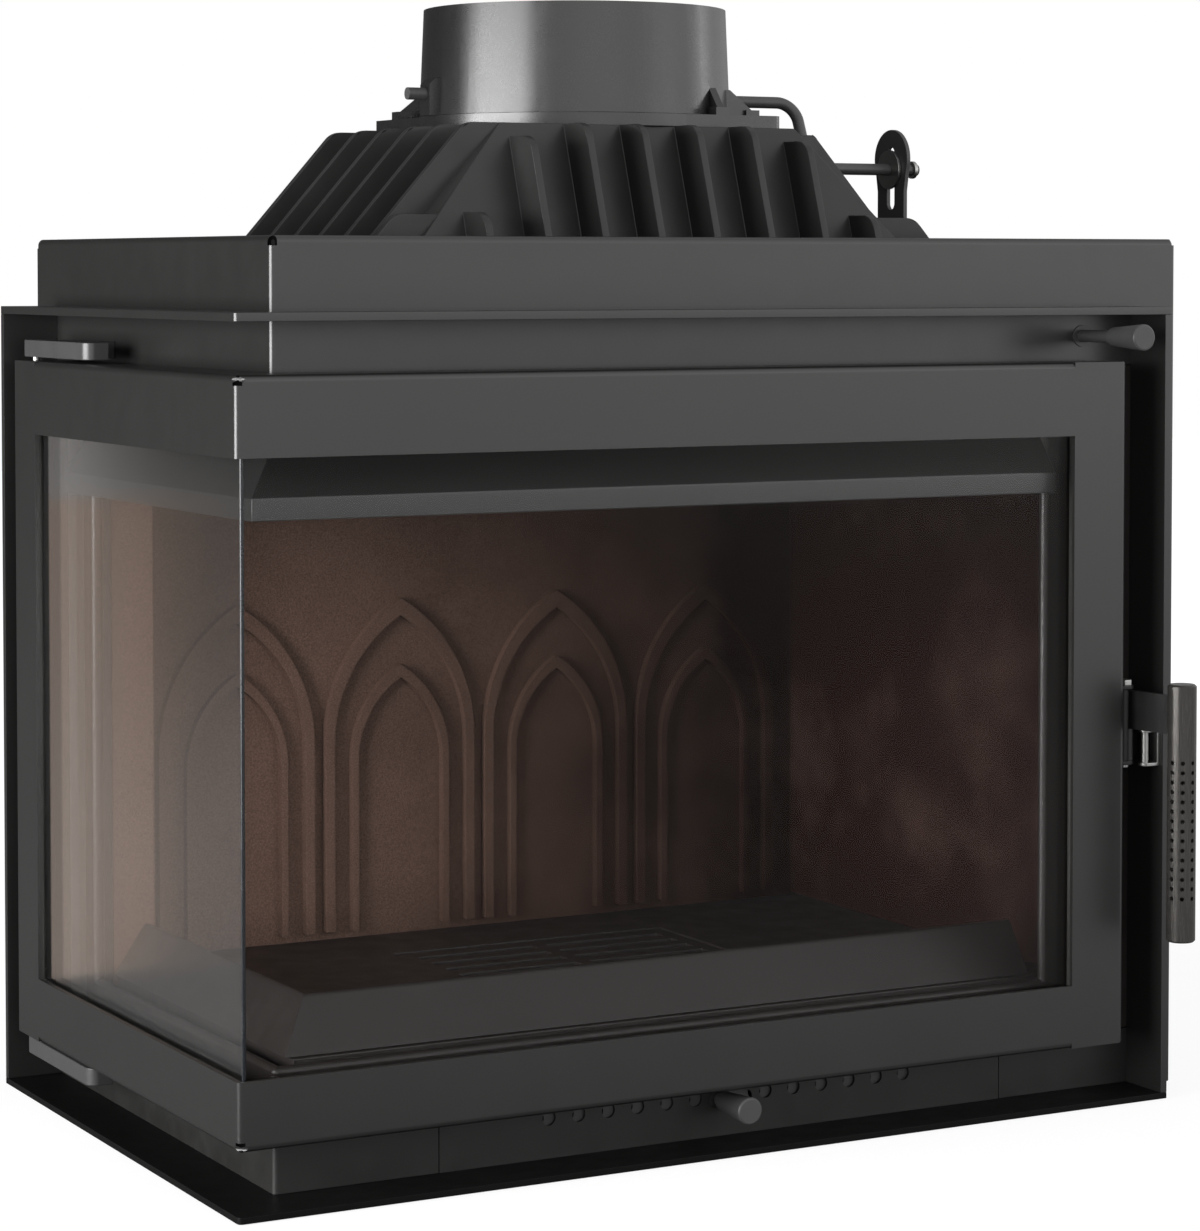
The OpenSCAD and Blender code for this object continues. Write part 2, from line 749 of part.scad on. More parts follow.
// Four-sided block with sloping faces between two heights, shrunk inward by the given amount
module pyramid(z0, z1, inset) {
    intersection() {
        translate([0, big / 2, 0]) rotate([90, 0, 0]) linear_extrude(big) polygon([
            [-hood_half_x(z0) + inset, z0], [hood_half_x(z0) - inset, z0],
            [hood_half_x(z1) - inset, z1], [-hood_half_x(z1) + inset, z1]]);
        translate([-big / 2, 0, 0]) rotate([90, 0, 90]) linear_extrude(big) polygon([
            [-hood_half_y(z0) + inset, z0], [hood_half_y(z0) - inset, z0],
            [hood_half_y(z1) - inset, z1], [-hood_half_y(z1) + inset, z1]]);
    }
}

// Outline of a fin: x counts outward from the flue axis, y is the height
function fin_outline(half, spread, alpha, h, r, top) =
    let (w = h / cos(alpha), tl = r / tan((90 + alpha) / 2), root = half + spread * (hood_top - top),
        foot = half + spread * (hood_top - fin_bottom), cx = root + w - tl, cy = top - r)
    concat([[foot - 2, fin_bottom], [root - 2, top]],
        [for (i = [0 : 6]) let (a = 90 + (alpha - 90) * i / 6) [cx + r * cos(a), cy + r * sin(a)]],
        [[foot + w, fin_bottom]]);

// Fin standing on the hood's front, its middle at the given x
module front_fin(x, top) {
    translate([x + fin_t / 2, 0, 0]) rotate([90, 0, -90]) linear_extrude(fin_t)
        polygon(fin_outline(hood_top_d / 2, spread_y, alpha_y, fin_h, fin_corner_r, top));
}

// Fin standing on the hood's right side, its middle at the given y
module side_fin(y, top, h, r) {
    translate([0, y + fin_t / 2, 0]) rotate([90, 0, 0]) linear_extrude(fin_t)
        polygon(fin_outline(hood_top_w / 2, spread_x, alpha_x, h, r, top));
}

// Height at which the sloping edge of a face reaches a fin at the given distance from its middle
function face_edge(distance, half, spread) = hood_top - max(0, (distance + fin_t / 2 - half) / spread);

corner_fin_h = 22;
corner_fin_top = hood_foot + 56;
middle_fin_drop = 9;
outer_fin_drop = 18;
foot_flange = 10;
foot_flange_t = 6;

// Upright-walled box under the hood's sloping part, shrunk inward by the given amount
module hood_box(inset, z0, z1) {
    x = hood_half_x(hood_foot) - inset;
    y = hood_half_y(hood_foot) - inset;
    block([-x, -y, z0], [x, y, z1]);
}

module hood() {
    color([0.3, 0.3, 0.29]) {
        difference() {
            union() {
                pyramid(hood_foot, hood_top, 0);
                hood_box(0, hood_base, hood_foot);
                hood_box(-foot_flange, hood_base, hood_base + foot_flange_t);
                for (i = [0 : 3], s = [-1, 1]) {
                    x = (i + 0.5) * fin_pitch;
                    drop = i == 3 ? outer_fin_drop : 0;
                    top = i == 2 ? hood_top - middle_fin_drop : face_edge(x, hood_top_w / 2, spread_x) - drop;
                    front_fin(s * x, top);
                    mirror([0, 1, 0]) front_fin(s * x, top);
                }
                for (i = [0 : 2], s = [-1, 1]) {
                    y = (i + 0.5) * fin_pitch;
                    mirror([1, 0, 0]) side_fin(s * y, hood_top, side_fin_h, fin_corner_r);
                    side_fin(s * y, hood_top - 4, low_fin_h, low_fin_h / 2);
                }
                for (m = [0, 1]) mirror([m, 0, 0])
                    side_fin(fin_t / 2 - hood_half_y(corner_fin_top), corner_fin_top, corner_fin_h,
                        fin_corner_r);
            }
            pyramid(hood_foot - 0.01, hood_top - flange_t, hood_wall);
            hood_box(hood_wall, hood_base - over, hood_foot);
            translate([0, 0, hood_top - 2 * flange_t]) cylinder(r = bore_r, h = 3 * flange_t, $fn = 96);
            for (c = bolt_corners) translate([c[0] * bolt_at, c[1] * bolt_at, hood_top - bolt_l])
                cylinder(r = bolt_r + seat, h = 2 * bolt_l);
        }
    }
}

bolt_at = 91;
bolt_r = 3;
bolt_l = 16;
bolt_corners = [[1, -1], [1, 1], [-1, 1]];
gusset_h = 18;
gusset_y = 65;
gusset_x = 55;
gusset_toe = 10;

// Triangular web from the collar out to the flange's edge, along X, at the given distance from the axis
module gusset(y) {
    x = sqrt(collar_base_r * collar_base_r - y * y) - 6;
    translate([0, y + fin_t / 2, flange_top]) rotate([90, 0, 0]) linear_extrude(fin_t)
        polygon([[x, 0], [flange_half, 0], [flange_half, 1.5], [x + 6, gusset_h], [x, gusset_h]]);
    translate([flange_half - gusset_toe, y - gusset_toe / 2, flange_top])
        cube([gusset_toe, gusset_toe, gusset_toe / 2]);
}

// Lug that carries one end of the damper shaft
module shaft_lug() {
    translate([0, 7, flange_top]) rotate([90, 0, 0]) linear_extrude(14)
        polygon([[collar_r - 3, 0], [collar_base_r + 7, 0], [collar_base_r + 7, shaft_z + 6],
            [collar_base_r + 3, shaft_z + 10], [collar_r - 3, shaft_z + 10]]);
}

// Square flange with three rounded corners, and the collar's own curve at the front left one
module flange_outline() {
    r = 8;
    inner = flange_half - r;
    circle(collar_base_r + 2, $fn = 96);
    for (c = bolt_corners) translate([c[0] * inner, c[1] * inner]) circle(r);
    translate([0, -inner]) square([flange_half, 2 * inner]);
    translate([0, -flange_half]) square([inner, 2 * flange_half]);
    translate([-inner, 0]) square([inner, flange_half]);
    translate([-flange_half, 0]) square([flange_half, inner]);
}

module flue_collar() {
    color([0.42, 0.42, 0.41]) difference() {
        union() {
            translate([0, 0, hood_top]) linear_extrude(flange_t) flange_outline();
            translate([0, 0, flange_top]) cylinder(r1 = collar_base_r, r2 = collar_r, h = collar_h, $fn = 96);
            for (y = [-gusset_y, gusset_y]) gusset(y);
            mirror([1, 0, 0]) gusset(gusset_y);
            rotate([0, 0, -90]) gusset(gusset_x);
            for (x = [-gusset_x, gusset_x]) rotate([0, 0, 90]) gusset(x);
            shaft_lug();
            mirror([1, 0, 0]) shaft_lug();
        }
        translate([0, 0, hood_top - over]) cylinder(r = bore_r, h = big, $fn = 96);
        translate([0, 0, socket_z]) cylinder(r = socket_r, h = big, $fn = 96);
        translate([-collar_r - 30, 0, shaft_height]) rotate([0, 90, 0])
            cylinder(r = shaft_r + fit, h = 2 * (collar_r + 30));
        for (c = bolt_corners) translate([c[0] * bolt_at, c[1] * bolt_at, 0]) {
            translate([0, 0, hood_top - over]) cylinder(r = bolt_r + 0.3, h = flange_t + 2 * over);
            translate([0, 0, flange_top - bolt_r - 0.3]) cylinder(r1 = bolt_r + 0.3, r2 = 2 * (bolt_r + 0.3),
                h = bolt_r + 0.31);
        }
    }
}

// Countersunk screws that hold the collar on the hood
module collar_bolts() {
    color([0.4, 0.4, 0.4]) for (c = bolt_corners) translate([c[0] * bolt_at, c[1] * bolt_at, 0])
        difference() {
        union() {
            translate([0, 0, flange_top - bolt_l]) cylinder(r = bolt_r, h = bolt_l);
            translate([0, 0, flange_top - bolt_r - 0.3]) cylinder(r1 = bolt_r, r2 = 2 * bolt_r, h = bolt_r);
        }
        translate([0, 0, flange_top - 2]) cylinder(r = 2.3, h = 3, $fn = 6);
    }
}

// Round plate that turns in the collar, with two sleeves round its shaft
module damper_plate() {
    color([0.22, 0.22, 0.22]) translate([0, 0, shaft_height]) difference() {
        union() {
            translate([0, 0, -1.5]) cylinder(r = bore_r - 3, h = 3, $fn = 96);
            for (x = [-60, 35]) translate([x, 0, 0]) rotate([0, 90, 0]) cylinder(r = shaft_r + 3, h = 25);
        }
        translate([-bore_r, 0, 0]) rotate([0, 90, 0]) cylinder(r = shaft_r + seat, h = 2 * bore_r);
    }
}

bend_r = 14;
crank_end = link_out + 20;

// Quarter bend of the rod in the XZ plane, from +X to -Z
module rod_bend(r) {
    rotate([90, 0, 0]) rotate_extrude(angle = 90) translate([bend_r, 0]) circle(r);
}

// One bent rod: the shaft through the collar, the crank's leg and the crank pin
module damper_shaft() {
    leg = crank_r - 2 * bend_r;
    left_end = collar_base_r + 20;
    color([0.33, 0.33, 0.33]) translate([0, 0, shaft_height]) rotate([-crank_angle, 0, 0]) {
        translate([-left_end, 0, 0]) rotate([0, 90, 0])
            cylinder(r = shaft_r, h = left_end + crank_x - bend_r);
        translate([crank_x - bend_r, 0, -bend_r]) rod_bend(shaft_r);
        translate([crank_x, 0, -bend_r - leg]) cylinder(r = shaft_r, h = leg);
        translate([crank_x + bend_r, 0, -bend_r - leg]) rotate([0, 180, 0]) rod_bend(shaft_r);
        translate([crank_x + bend_r, 0, -crank_r]) rotate([0, 90, 0])
            cylinder(r = shaft_r, h = crank_end - crank_x - bend_r);
    }
}

// Washers either side of the link plate, and a nut on the crank pin's end
module crank_washers() {
    color([0.45, 0.45, 0.44]) translate([0, 0, shaft_height]) rotate([-crank_angle, 0, 0])
        translate([link_out, 0, -crank_r]) rotate([0, 90, 0]) difference() {
            union() {
                translate([0, 0, -link_t / 2 - play - 2]) cylinder(r = 13.5, h = 2);
                translate([0, 0, link_t / 2 + play]) cylinder(r = 9, h = 2);
                translate([0, 0, link_t / 2 + play + 2]) cylinder(r = 7, h = 4, $fn = 6);
                translate([0, 0, crank_end - link_out - 5]) cylinder(r = 6, h = 2.5);
            }
            translate([0, 0, -10]) cylinder(r = shaft_r + seat, h = 10 + crank_end - link_out);
        }
}

pin_y = -crank_r * sin(crank_angle);
pin_z = shaft_height - crank_r * cos(crank_angle);
head_r = 20.5;
stem_half = 16.5;
slot_half = shaft_r + 0.6;
foot_y = pin_y;

// Upright slotted plate that turns the rod's push into the crank's swing, bent to a foot at its lower end
module link_plate() {
    head_z = pin_z + 7;
    low_z = rod_z - 12;
    foot_right = rod_out + 12;
    left = link_out - link_t / 2;
    color([0.3, 0.3, 0.3]) difference() {
        union() {
            translate([left, pin_y, 0]) rotate([90, 0, 90]) linear_extrude(link_t) {
                translate([0, head_z]) circle(head_r);
                polygon([[-head_r, head_z], [head_r, head_z], [stem_half, head_z - 22], [stem_half, low_z],
                    [-stem_half, low_z], [-stem_half, head_z - 22]]);
            }
            block([left, foot_y - link_t / 2, low_z], [foot_right, foot_y + link_t / 2, rod_z + 12]);
        }
        translate([left - over, pin_y, 0]) rotate([90, 0, 90]) linear_extrude(link_t + 2 * over) {
            for (z = [pin_z - 23, pin_z + 11]) translate([0, z]) circle(slot_half);
            translate([-slot_half, pin_z - 23]) square([2 * slot_half, 34]);
        }
        translate([rod_out, foot_y - 10, rod_z]) rotate([-90, 0, 0])
            cylinder(r = rod_step_r + seat, h = 20);
    }
}

rod_r = 4;
rod_step_r = 3;
knob_back = -rod_travel - 1.5;

// Round rod from the knob to the link plate, stepped down where it passes the plate
module control_rod() {
    front = knob_back - flue_y - 8;
    step = foot_y - link_t / 2;
    color([0.4, 0.4, 0.4]) translate([rod_out, 0, rod_z]) rotate([-90, 0, 0]) {
        translate([0, 0, front]) cylinder(r = rod_r, h = step - front);
        translate([0, 0, step]) cylinder(r = rod_step_r, h = link_t + 14);
    }
}

module link_nuts() {
    color([0.5, 0.5, 0.5]) translate([rod_out, foot_y + link_t / 2, rod_z]) rotate([-90, 0, 0])
        difference() {
            cylinder(r = 5.8, h = 5, $fn = 6);
            translate([0, 0, -over]) cylinder(r = rod_step_r + seat, h = 7);
        }
}

module control_knob() {
    color([0.3, 0.3, 0.29]) placed() difference() {
        translate([rod_x, knob_back, rod_z]) knob();
        translate([rod_x, knob_back - 8, rod_z]) rotate([-90, 0, 0]) cylinder(r = rod_r + seat, h = 20);
    }
}

module rod_bush() {
    color([0.35, 0.35, 0.34]) placed() translate([rod_x, -0.8, rod_z]) rotate([-90, 0, 0]) difference() {
        union() {
            cylinder(r = 6.98, h = 6);
            translate([0, 0, sheet + 0.8]) cylinder(r = 9, h = 3);
        }
        translate([0, 0, -over]) cylinder(r = rod_r + fit, h = 10);
    }
}

// Angle bracket on the chamber's top that guides the rod
module rod_guide() {
    y = 104;
    color([0.25, 0.25, 0.25]) placed() difference() {
        union() {
            block([rod_x - 15, y, hood_base], [rod_x + 15, y + 4, rod_z + 12]);
            block([rod_x - 15, y, hood_base], [rod_x + 15, y + 30, hood_base + 4]);
        }
        translate([rod_x, y - over, rod_z]) rotate([-90, 0, 0]) cylinder(r = rod_r + fit, h = 6);
    }
}

// Section of the door's upper or lower rail
module rail_section(width) {
    folded_edge(width, door_depth, door_t, door_r);
}

module door_frame() {
    notch = 2.2;
    color([0.28, 0.28, 0.27]) placed() difference() {
        union() {
            translate([-overhang, -overhang, 0]) l_run(door_front, door_side) {
                translate([0, window_high]) rail_section(rail_up);
                translate([0, window_low]) mirror([0, 1]) rail_section(rail_low);
            }
            translate([window_right, -overhang, door_bottom]) stile(stile_right);
            translate([-overhang, window_rear, door_bottom]) mirror([1, -1, 0]) stile(stile_rear);
        }
        fold_cut(-overhang, fold_r, 0, big);
        end_edge_cut(door_right);
        mirror([1, -1, 0]) end_edge_cut(door_rear);
        for (z = [door_top - notch, door_bottom + notch]) translate([-overhang + 3, -overhang, z])
            rotate([-90, 0, 45]) cylinder(r = notch, h = 14, center = true, $fn = 24);
        for (z = [door_bottom - over, door_top - 6]) translate([hinge_x, hinge_y, z])
            cylinder(r = hinge_r + fit, h = 7);
        end_round(door_right);
        mirror([1, -1, 0]) end_round(door_rear);
    }
}

// Upright part of the door frame at its free end
module stile(width) {
    linear_extrude(door_h) mirror([1, -1, 0]) folded_edge(width, door_depth, door_t, door_r);
}

// Rounds the upright edge at a leg's free end
module end_edge_cut(x) {
    difference() {
        block([x - door_r, -overhang - over, 0], [x + over, door_r - overhang, big]);
        translate([x - door_r, door_r - overhang, -over]) cylinder(r = door_r, h = big + 2 * over);
    }
}

// Rounds the two corners of a leg's free end
module end_round(x) {
    depth = door_depth + 4 * over;
    for (m = [0, 1]) translate([x, -overhang, m == 0 ? door_bottom : door_top]) mirror([0, 0, m])
        difference() {
            translate([-door_r, -over, -over]) cube([door_r + over, depth - 2 * over, door_r + over]);
            translate([-door_r, -2 * over, door_r]) rotate([-90, 0, 0]) cylinder(r = door_r, h = depth);
        }
}

pane_low = window_low - glass_lap;
pane_high = window_high + glass_lap;

module glass_front() {
    color([0.55, 0.6, 0.6, 0.35]) placed()
        block([glass_face, glass_face, pane_low],
            [window_right + glass_lap, glass_face + glass_t, pane_high]);
}

module glass_side() {
    color([0.55, 0.6, 0.6, 0.35]) placed()
        block([glass_face, glass_face + glass_t + play, pane_low],
            [glass_face + glass_t, window_rear + glass_lap, pane_high]);
}

// Flat strips between the door frame and the panes
module glass_tape() {
    d0 = -overhang + door_t;
    d1 = glass_face;
    lap = glass_lap - 3;
    color([0.12, 0.12, 0.12]) placed() {
        l_run(window_right + lap, window_rear + lap) {
            translate([d0, window_low - lap]) square([d1 - d0, lap - 1]);
            translate([d0, window_high + 1]) square([d1 - d0, lap - 1]);
        }
        block([window_right + 1, d0, window_low - 1], [window_right + lap, d1, window_high + 1]);
        block([d0, window_rear + 1, window_low - 1], [d1, window_rear + lap, window_high + 1]);
    }
}

retainer_t = 2;

// Strips that clamp the panes from inside, standing on the door frame
module glass_retainers() {
    d0 = -overhang + door_t;
    d1 = glass_face + glass_t;
    edge = 1;
    reach = 8;
    color([0.33, 0.33, 0.33]) placed() {
        l_run(window_right + glass_lap, window_rear + glass_lap) {
            translate([d1, pane_low - edge - 6]) square([retainer_t, reach + 6]);
            translate([d0, pane_low - edge - 6]) square([d1 - d0, 5]);
            translate([d1, pane_high + edge - reach]) square([retainer_t, reach + 6]);
            translate([d0, pane_high + edge + 1]) square([d1 - d0, 5]);
        }
    }
}

// Low round head standing on the XY plane
module retainer_screw() {
    cylinder(r = 3, h = 2, $fn = 24);
}

module retainer_screws() {
    d = glass_face + glass_t + retainer_t;
    edge = 39.25;
    pitch_x = (window_right - 2 * edge) / 4;
    pitch_y = (window_rear - 2 * edge) / 2;
    color([0.5, 0.5, 0.5]) placed() for (z = [pane_low - 4.5, pane_high + 4.5]) {
        for (i = [0 : 4]) translate([edge + i * pitch_x, d, z]) rotate([-90, 0, 0]) retainer_screw();
        for (i = [0 : 2]) translate([d, edge + i * pitch_y, z]) rotate([0, 90, 0]) retainer_screw();
    }
}

rope_low = door_bottom + 15;
rope_high = door_top - 15;
rope_right = door_right - 14;
rope_rear = door_rear - 26;
rope_half = 5;
channel_t = 1.5;

channel_d0 = 20 - door_depth;
channel_d1 = 26 - door_depth;

// Upright rectangle on a leg, from beyond the door's corner to the given end
module leg_face(end, low, high) {
    translate([-overhang, low]) square([end + overhang, high - low]);
}

// Run of the given half width round a leg's window, its middle where the rope lies
module rope_run(end, half) {
    difference() {
        leg_face(end + half, rope_low - half, rope_high + half);
        leg_face(end - half, rope_low + half, rope_high - half);
    }
}

// Stands a flat shape on a leg, between two depths
module on_leg(d0, d1) {
    translate([0, d1, 0]) rotate([90, 0, 0]) linear_extrude(d1 - d0) children();
}

// Sheet that fills a leg of the door frame round its window, with an open channel for the rope
module channel_leg(end, inner) {
    outer_half = rope_half + channel_t;
    difference() {
        union() {
            on_leg(channel_d0, channel_d0 + channel_t) difference() {
                leg_face(inner, door_bottom + door_t, door_top - door_t);
                leg_face(end - outer_half, rope_low + outer_half, rope_high - outer_half);
            }
            on_leg(channel_d0, channel_d1) rope_run(end, outer_half);
        }
        on_leg(channel_d0 + channel_t, channel_d1 + over) rope_run(end, rope_half);
    }
}

// Channel for the sealing rope, fixed between the door frame's flanges
module gasket_channel() {
    color([0.22, 0.22, 0.22]) placed() {
        intersection() {
            channel_leg(rope_right, door_right - door_t);
            front_half(0);
        }
        intersection() {
            mirror([1, -1, 0]) channel_leg(rope_rear, door_rear - door_t);
            side_half(0);
        }
    }
}

// Soft rope that seals the door against the front frame
module door_gasket() {
    d0 = channel_d0 + channel_t + play;
    d1 = -0.6;
    half = rope_half - play;
    color([0.2, 0.2, 0.19]) placed() {
        intersection() {
            on_leg(d0, d1) rope_run(rope_right, half);
            front_half(0);
        }
        intersection() {
            mirror([1, -1, 0]) on_leg(d0, d1) rope_run(rope_rear, half);
            side_half(0);
        }
    }
}

arm_places = [door_bottom - arm_gap - arm_h, door_top + arm_gap];
arm_half = 8;

// Two cast arms along the casing's side that carry the hinge pins
module hinge_arms() {
    x0 = hinge_x - arm_half;
    y0 = hinge_y - arm_l;
    corner = 7;
    color([0.4, 0.4, 0.39]) placed() for (z = arm_places) translate([0, 0, z]) difference() {
        linear_extrude(arm_h) {
            translate([hinge_x, hinge_y]) circle(arm_half);
            translate([x0, y0 + corner]) square([2 * arm_half, arm_l - corner]);
            translate([x0 + corner, y0]) square([2 * arm_half - corner, corner + 1]);
            translate([x0 + corner, y0 + corner]) circle(corner);
            translate([x0 + 2 * arm_half - 1, y0 + 36]) square([-hinge_x - arm_half + 1, arm_foot]);
        }
        translate([hinge_x, hinge_y, -over]) cylinder(r = hinge_r + seat, h = arm_h + 2 * over);
    }
}

// Pins fixed in the arms, reaching into the door frame's flanges
module hinge_pins() {
    reach = arm_gap + 5;
    color([0.55, 0.55, 0.55]) placed() translate([hinge_x, hinge_y, 0]) {
        translate([0, 0, arm_places[0]]) cylinder(r = hinge_r, h = arm_h + reach);
        translate([0, 0, arm_places[1] - reach]) cylinder(r = hinge_r, h = arm_h + reach);
    }
}

pivot_x = door_right + 9;
pivot_y = -24;
lever_rise = 111;
lever_h = 46;
finger_h = 21;
lever_low = tube_bottom + lever_rise;
lever_high = lever_low + lever_h;
arm_plate_low = lever_low + finger_h;
tube_x = door_right + 16.5;
tube_y = -overhang - tube_out;
ear_t = 2.5;

// Two ears on the door's edge that hold the handle's pin
module handle_ears() {
    color([0.3, 0.3, 0.3]) placed() {
        for (z = [lever_low - play - ear_t, lever_high + play]) translate([0, 0, z]) difference() {
            union() {
                translate([pivot_x, pivot_y, 0]) cylinder(r = 6, h = ear_t);
                block([door_right, pivot_y - 6, 0], [pivot_x, pivot_y + 6, ear_t]);
            }
            translate([pivot_x, pivot_y, -over]) cylinder(r = pivot_r + seat, h = ear_t + 2 * over);
        }
        block([door_right, pivot_y + 2, lever_low - play - ear_t], [door_right + 2, pivot_y + 10,
            lever_high + play + ear_t]);
    }
}

module handle_pin() {
    color([0.6, 0.6, 0.6]) placed() translate([pivot_x, pivot_y, lever_low - play - ear_t - 2]) {
        cylinder(r = pivot_r, h = lever_high - lever_low + 2 * (play + ear_t) + 4);
        translate([0, 0, lever_high - lever_low + 2 * (play + ear_t) + 2]) cylinder(r = 5, h = 3.5, $fn = 6);
    }
}

finger_l = 15.5;
finger_angle = 30;

// Lever that turns on the pin: a plate out to the tube and a finger that goes behind the keeper
module handle_lever() {
    dx = tube_x - pivot_x;
    dy = tube_y - pivot_y;
    reach = sqrt(dx * dx + dy * dy) - tube_r + 1;
    color([0.33, 0.33, 0.33]) placed() translate([pivot_x, pivot_y, 0]) difference() {
        union() {
            translate([0, 0, lever_low]) cylinder(r = 6, h = lever_high - lever_low);
            rotate([0, 0, atan2(dy, dx)]) block([0, -2, arm_plate_low], [reach, 2, lever_high]);
            rotate([0, 0, finger_angle]) block([0, -2.5, lever_low + 2], [finger_l, 2.5, arm_plate_low - 4]);
        }
        translate([0, 0, lever_low - over]) cylinder(r = pivot_r + fit, h = lever_h + 2 * over);
        translate([dx, dy, tube_bottom]) cylinder(r = tube_r + seat, h = tube_l);
    }
}

module handle_tube() {
    chamfer = 1.2;
    wall = 1.8;
    first_row = tube_bottom + 28.5;
    row_pitch = 6.2;
    color([0.45, 0.45, 0.44]) placed() translate([tube_x, tube_y, 0]) difference() {
        translate([0, 0, tube_bottom]) rotate_extrude() polygon([[0, 0], [tube_r - chamfer, 0],
            [tube_r, chamfer], [tube_r, tube_l - chamfer], [tube_r - chamfer, tube_l], [0, tube_l]]);
        translate([0, 0, tube_bottom + 4]) cylinder(r = tube_r - wall, h = tube_l - 8);
        for (row = [0 : perforation_rows - 1], k = [0 : perforation_columns / 2 - 1])
            translate([0, 0, first_row + row * row_pitch]) rotate([0, 90, 12 + k * 360 / perforation_columns])
                cylinder(r = perforation_r, h = 2 * tube_r + 2, center = true, $fn = 16);
    }
}

// Roller and its two cheeks on the frame's upright
module latch_keeper() {
    x = pivot_x + 12;
    y = pivot_y - 6;
    inner = frame_right - upright_t;
    z0 = lever_low - 1;
    z1 = arm_plate_low - 4;
    color([0.6, 0.6, 0.59]) placed() {
        translate([x, y, z0 - 2]) cylinder(r = 2.5, h = z1 - z0 + 4);
        for (z = [z0 - 3, z1 + 1]) {
            block([x, y - 4, z], [inner, y + 4, z + 2]);
            translate([x, y, z]) cylinder(r = 4, h = 2);
        }
        block([inner - 2, y - 4, z0 - 3], [inner, y + 4, z1 + 3]);
    }
}

bottom_plate();
top_plate();
right_upright();
rear_left_upright();
upper_casing();
right_panel();
back_panel();
base_corner_panel();
base_front_panel();
base_right_panel();
air_box();
slider_guides();
air_slider();
air_knob();
front_frame();
chamber_floor();
chamber_back();
chamber_right();
chamber_left();
chamber_top();
hearth_plate();
grate();
ash_pan();
rear_lining();
right_lining();
left_lining();
baffle();
air_guide();
log_fence();
hood();
flue_collar();
collar_bolts();
damper_plate();
damper_shaft();
crank_washers();
link_plate();
control_rod();
link_nuts();
control_knob();
rod_bush();
rod_guide();
door_frame();
glass_front();
glass_side();
glass_tape();
glass_retainers();
retainer_screws();
gasket_channel();
door_gasket();
hinge_arms();
hinge_pins();
handle_ears();
handle_pin();
handle_lever();
handle_tube();
latch_keeper();
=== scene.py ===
"""Looks of a corner fireplace insert: painted sheet casing, cast hood and collar,
glazed door, controls, and the plain studio that they are shown in."""
import json
import math

import bpy
from bpy.props import FloatProperty, FloatVectorProperty, PointerProperty
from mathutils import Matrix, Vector


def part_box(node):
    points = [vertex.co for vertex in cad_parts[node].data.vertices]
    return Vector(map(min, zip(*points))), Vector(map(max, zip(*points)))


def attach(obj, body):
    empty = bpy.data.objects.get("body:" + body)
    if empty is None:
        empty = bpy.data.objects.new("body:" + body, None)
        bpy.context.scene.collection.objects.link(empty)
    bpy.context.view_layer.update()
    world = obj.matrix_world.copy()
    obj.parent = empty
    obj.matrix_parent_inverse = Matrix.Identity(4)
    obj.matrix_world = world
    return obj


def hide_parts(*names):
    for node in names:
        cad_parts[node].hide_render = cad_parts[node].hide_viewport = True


bl_info = {
    "name": "Fireplace Insert Looks",
    "version": (1, 0, 0),
    "blender": (4, 5, 0),
    "location": "View3D > Sidebar > Fireplace",
    "description": "Dresses the fireplace insert's frame with its finishes and sets up the studio",
    "category": "Add Mesh",
}

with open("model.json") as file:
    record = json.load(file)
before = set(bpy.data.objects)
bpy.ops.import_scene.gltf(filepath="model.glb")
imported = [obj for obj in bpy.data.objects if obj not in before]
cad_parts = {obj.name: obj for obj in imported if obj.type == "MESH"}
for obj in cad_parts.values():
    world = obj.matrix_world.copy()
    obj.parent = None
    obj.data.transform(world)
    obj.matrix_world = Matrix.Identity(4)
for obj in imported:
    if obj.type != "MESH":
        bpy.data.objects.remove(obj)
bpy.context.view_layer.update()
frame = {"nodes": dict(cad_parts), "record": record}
BODY_OF = {node: body for body, nodes in frame["record"]["behaviour"]["bodies"].items() for node in nodes}
SLOT_OF = {row["node"]: row["material_slot"] for row in frame["record"]["subparts"]}
MM = 0.001

# Meshes. Angles are in degrees.
MERGE_GAP = 0.004 * MM  # corners of a solid's triangles that are nearer than this are one
FLAT_ANGLE = 0.8  # faces that meet flatter than this are one
ROUND_ANGLE = 30  # edges sharper than this are rounded
SMOOTH_ANGLE = 32  # faces that meet flatter than this shade as one
PIERCED_NODES = ("hood", "grate", "air_box")  # their pierced faces are split before rounding
SPLIT_SIDES = 5  # a face with this many sides or more is split there
OVERCUT = 1 * MM  # how far a cutter reaches past the sheet
RELIEF_R = 4.2 * MM  # radius of the relief where two folds meet
RELIEF_H = 6 * MM
COLLAR_FOOT_R = 103 * MM
GAP_SHADE_R = 0.9 * MM  # radius of the black ring round the collar's foot, painted shade of the gap between collar and flange
GAP_SHADE_SUNK = 0.55 * MM  # how far its middle lies below the flange's top
GAP_SHADE_WAVER = 0.1 * MM  # how uneven it is
BEAD_R = 1.3 * MM  # radius of the bead between the two panes

# Finishes. A pattern's scale is its number of waves in a metre.
MOTTLE_SCALE = 14
SHEEN_SCALE = 55
STROKE_SCALE = 3000
STROKE_STRETCH = (1, 1, 0.02)  # brush strokes are long in Z
GRAIN_SHEEN = 0.03  # how much a paint's grain changes its roughness
# dark red of the painted shade, with a red tint of painted firelight, on the right of the linings; also
# the colour of their dark flecks
PAINTED_SHADE_AND_FLECKS = (0.011, 0.0034, 0.0024)
PAINTED_SHADE_FROM, PAINTED_SHADE_TO = -0.22, 0.2  # X from which painted shade darkens the linings, and where it is full
PAINTED_SHADE_RAGGED = 0.13  # how ragged the change is
PAINTED_SHADE_SCALE = 9
CLAY_GRAIN_SCALE = 900
CLAY_LUMP_SCALE = 40
CLAY_SHEEN_SCALE = 60

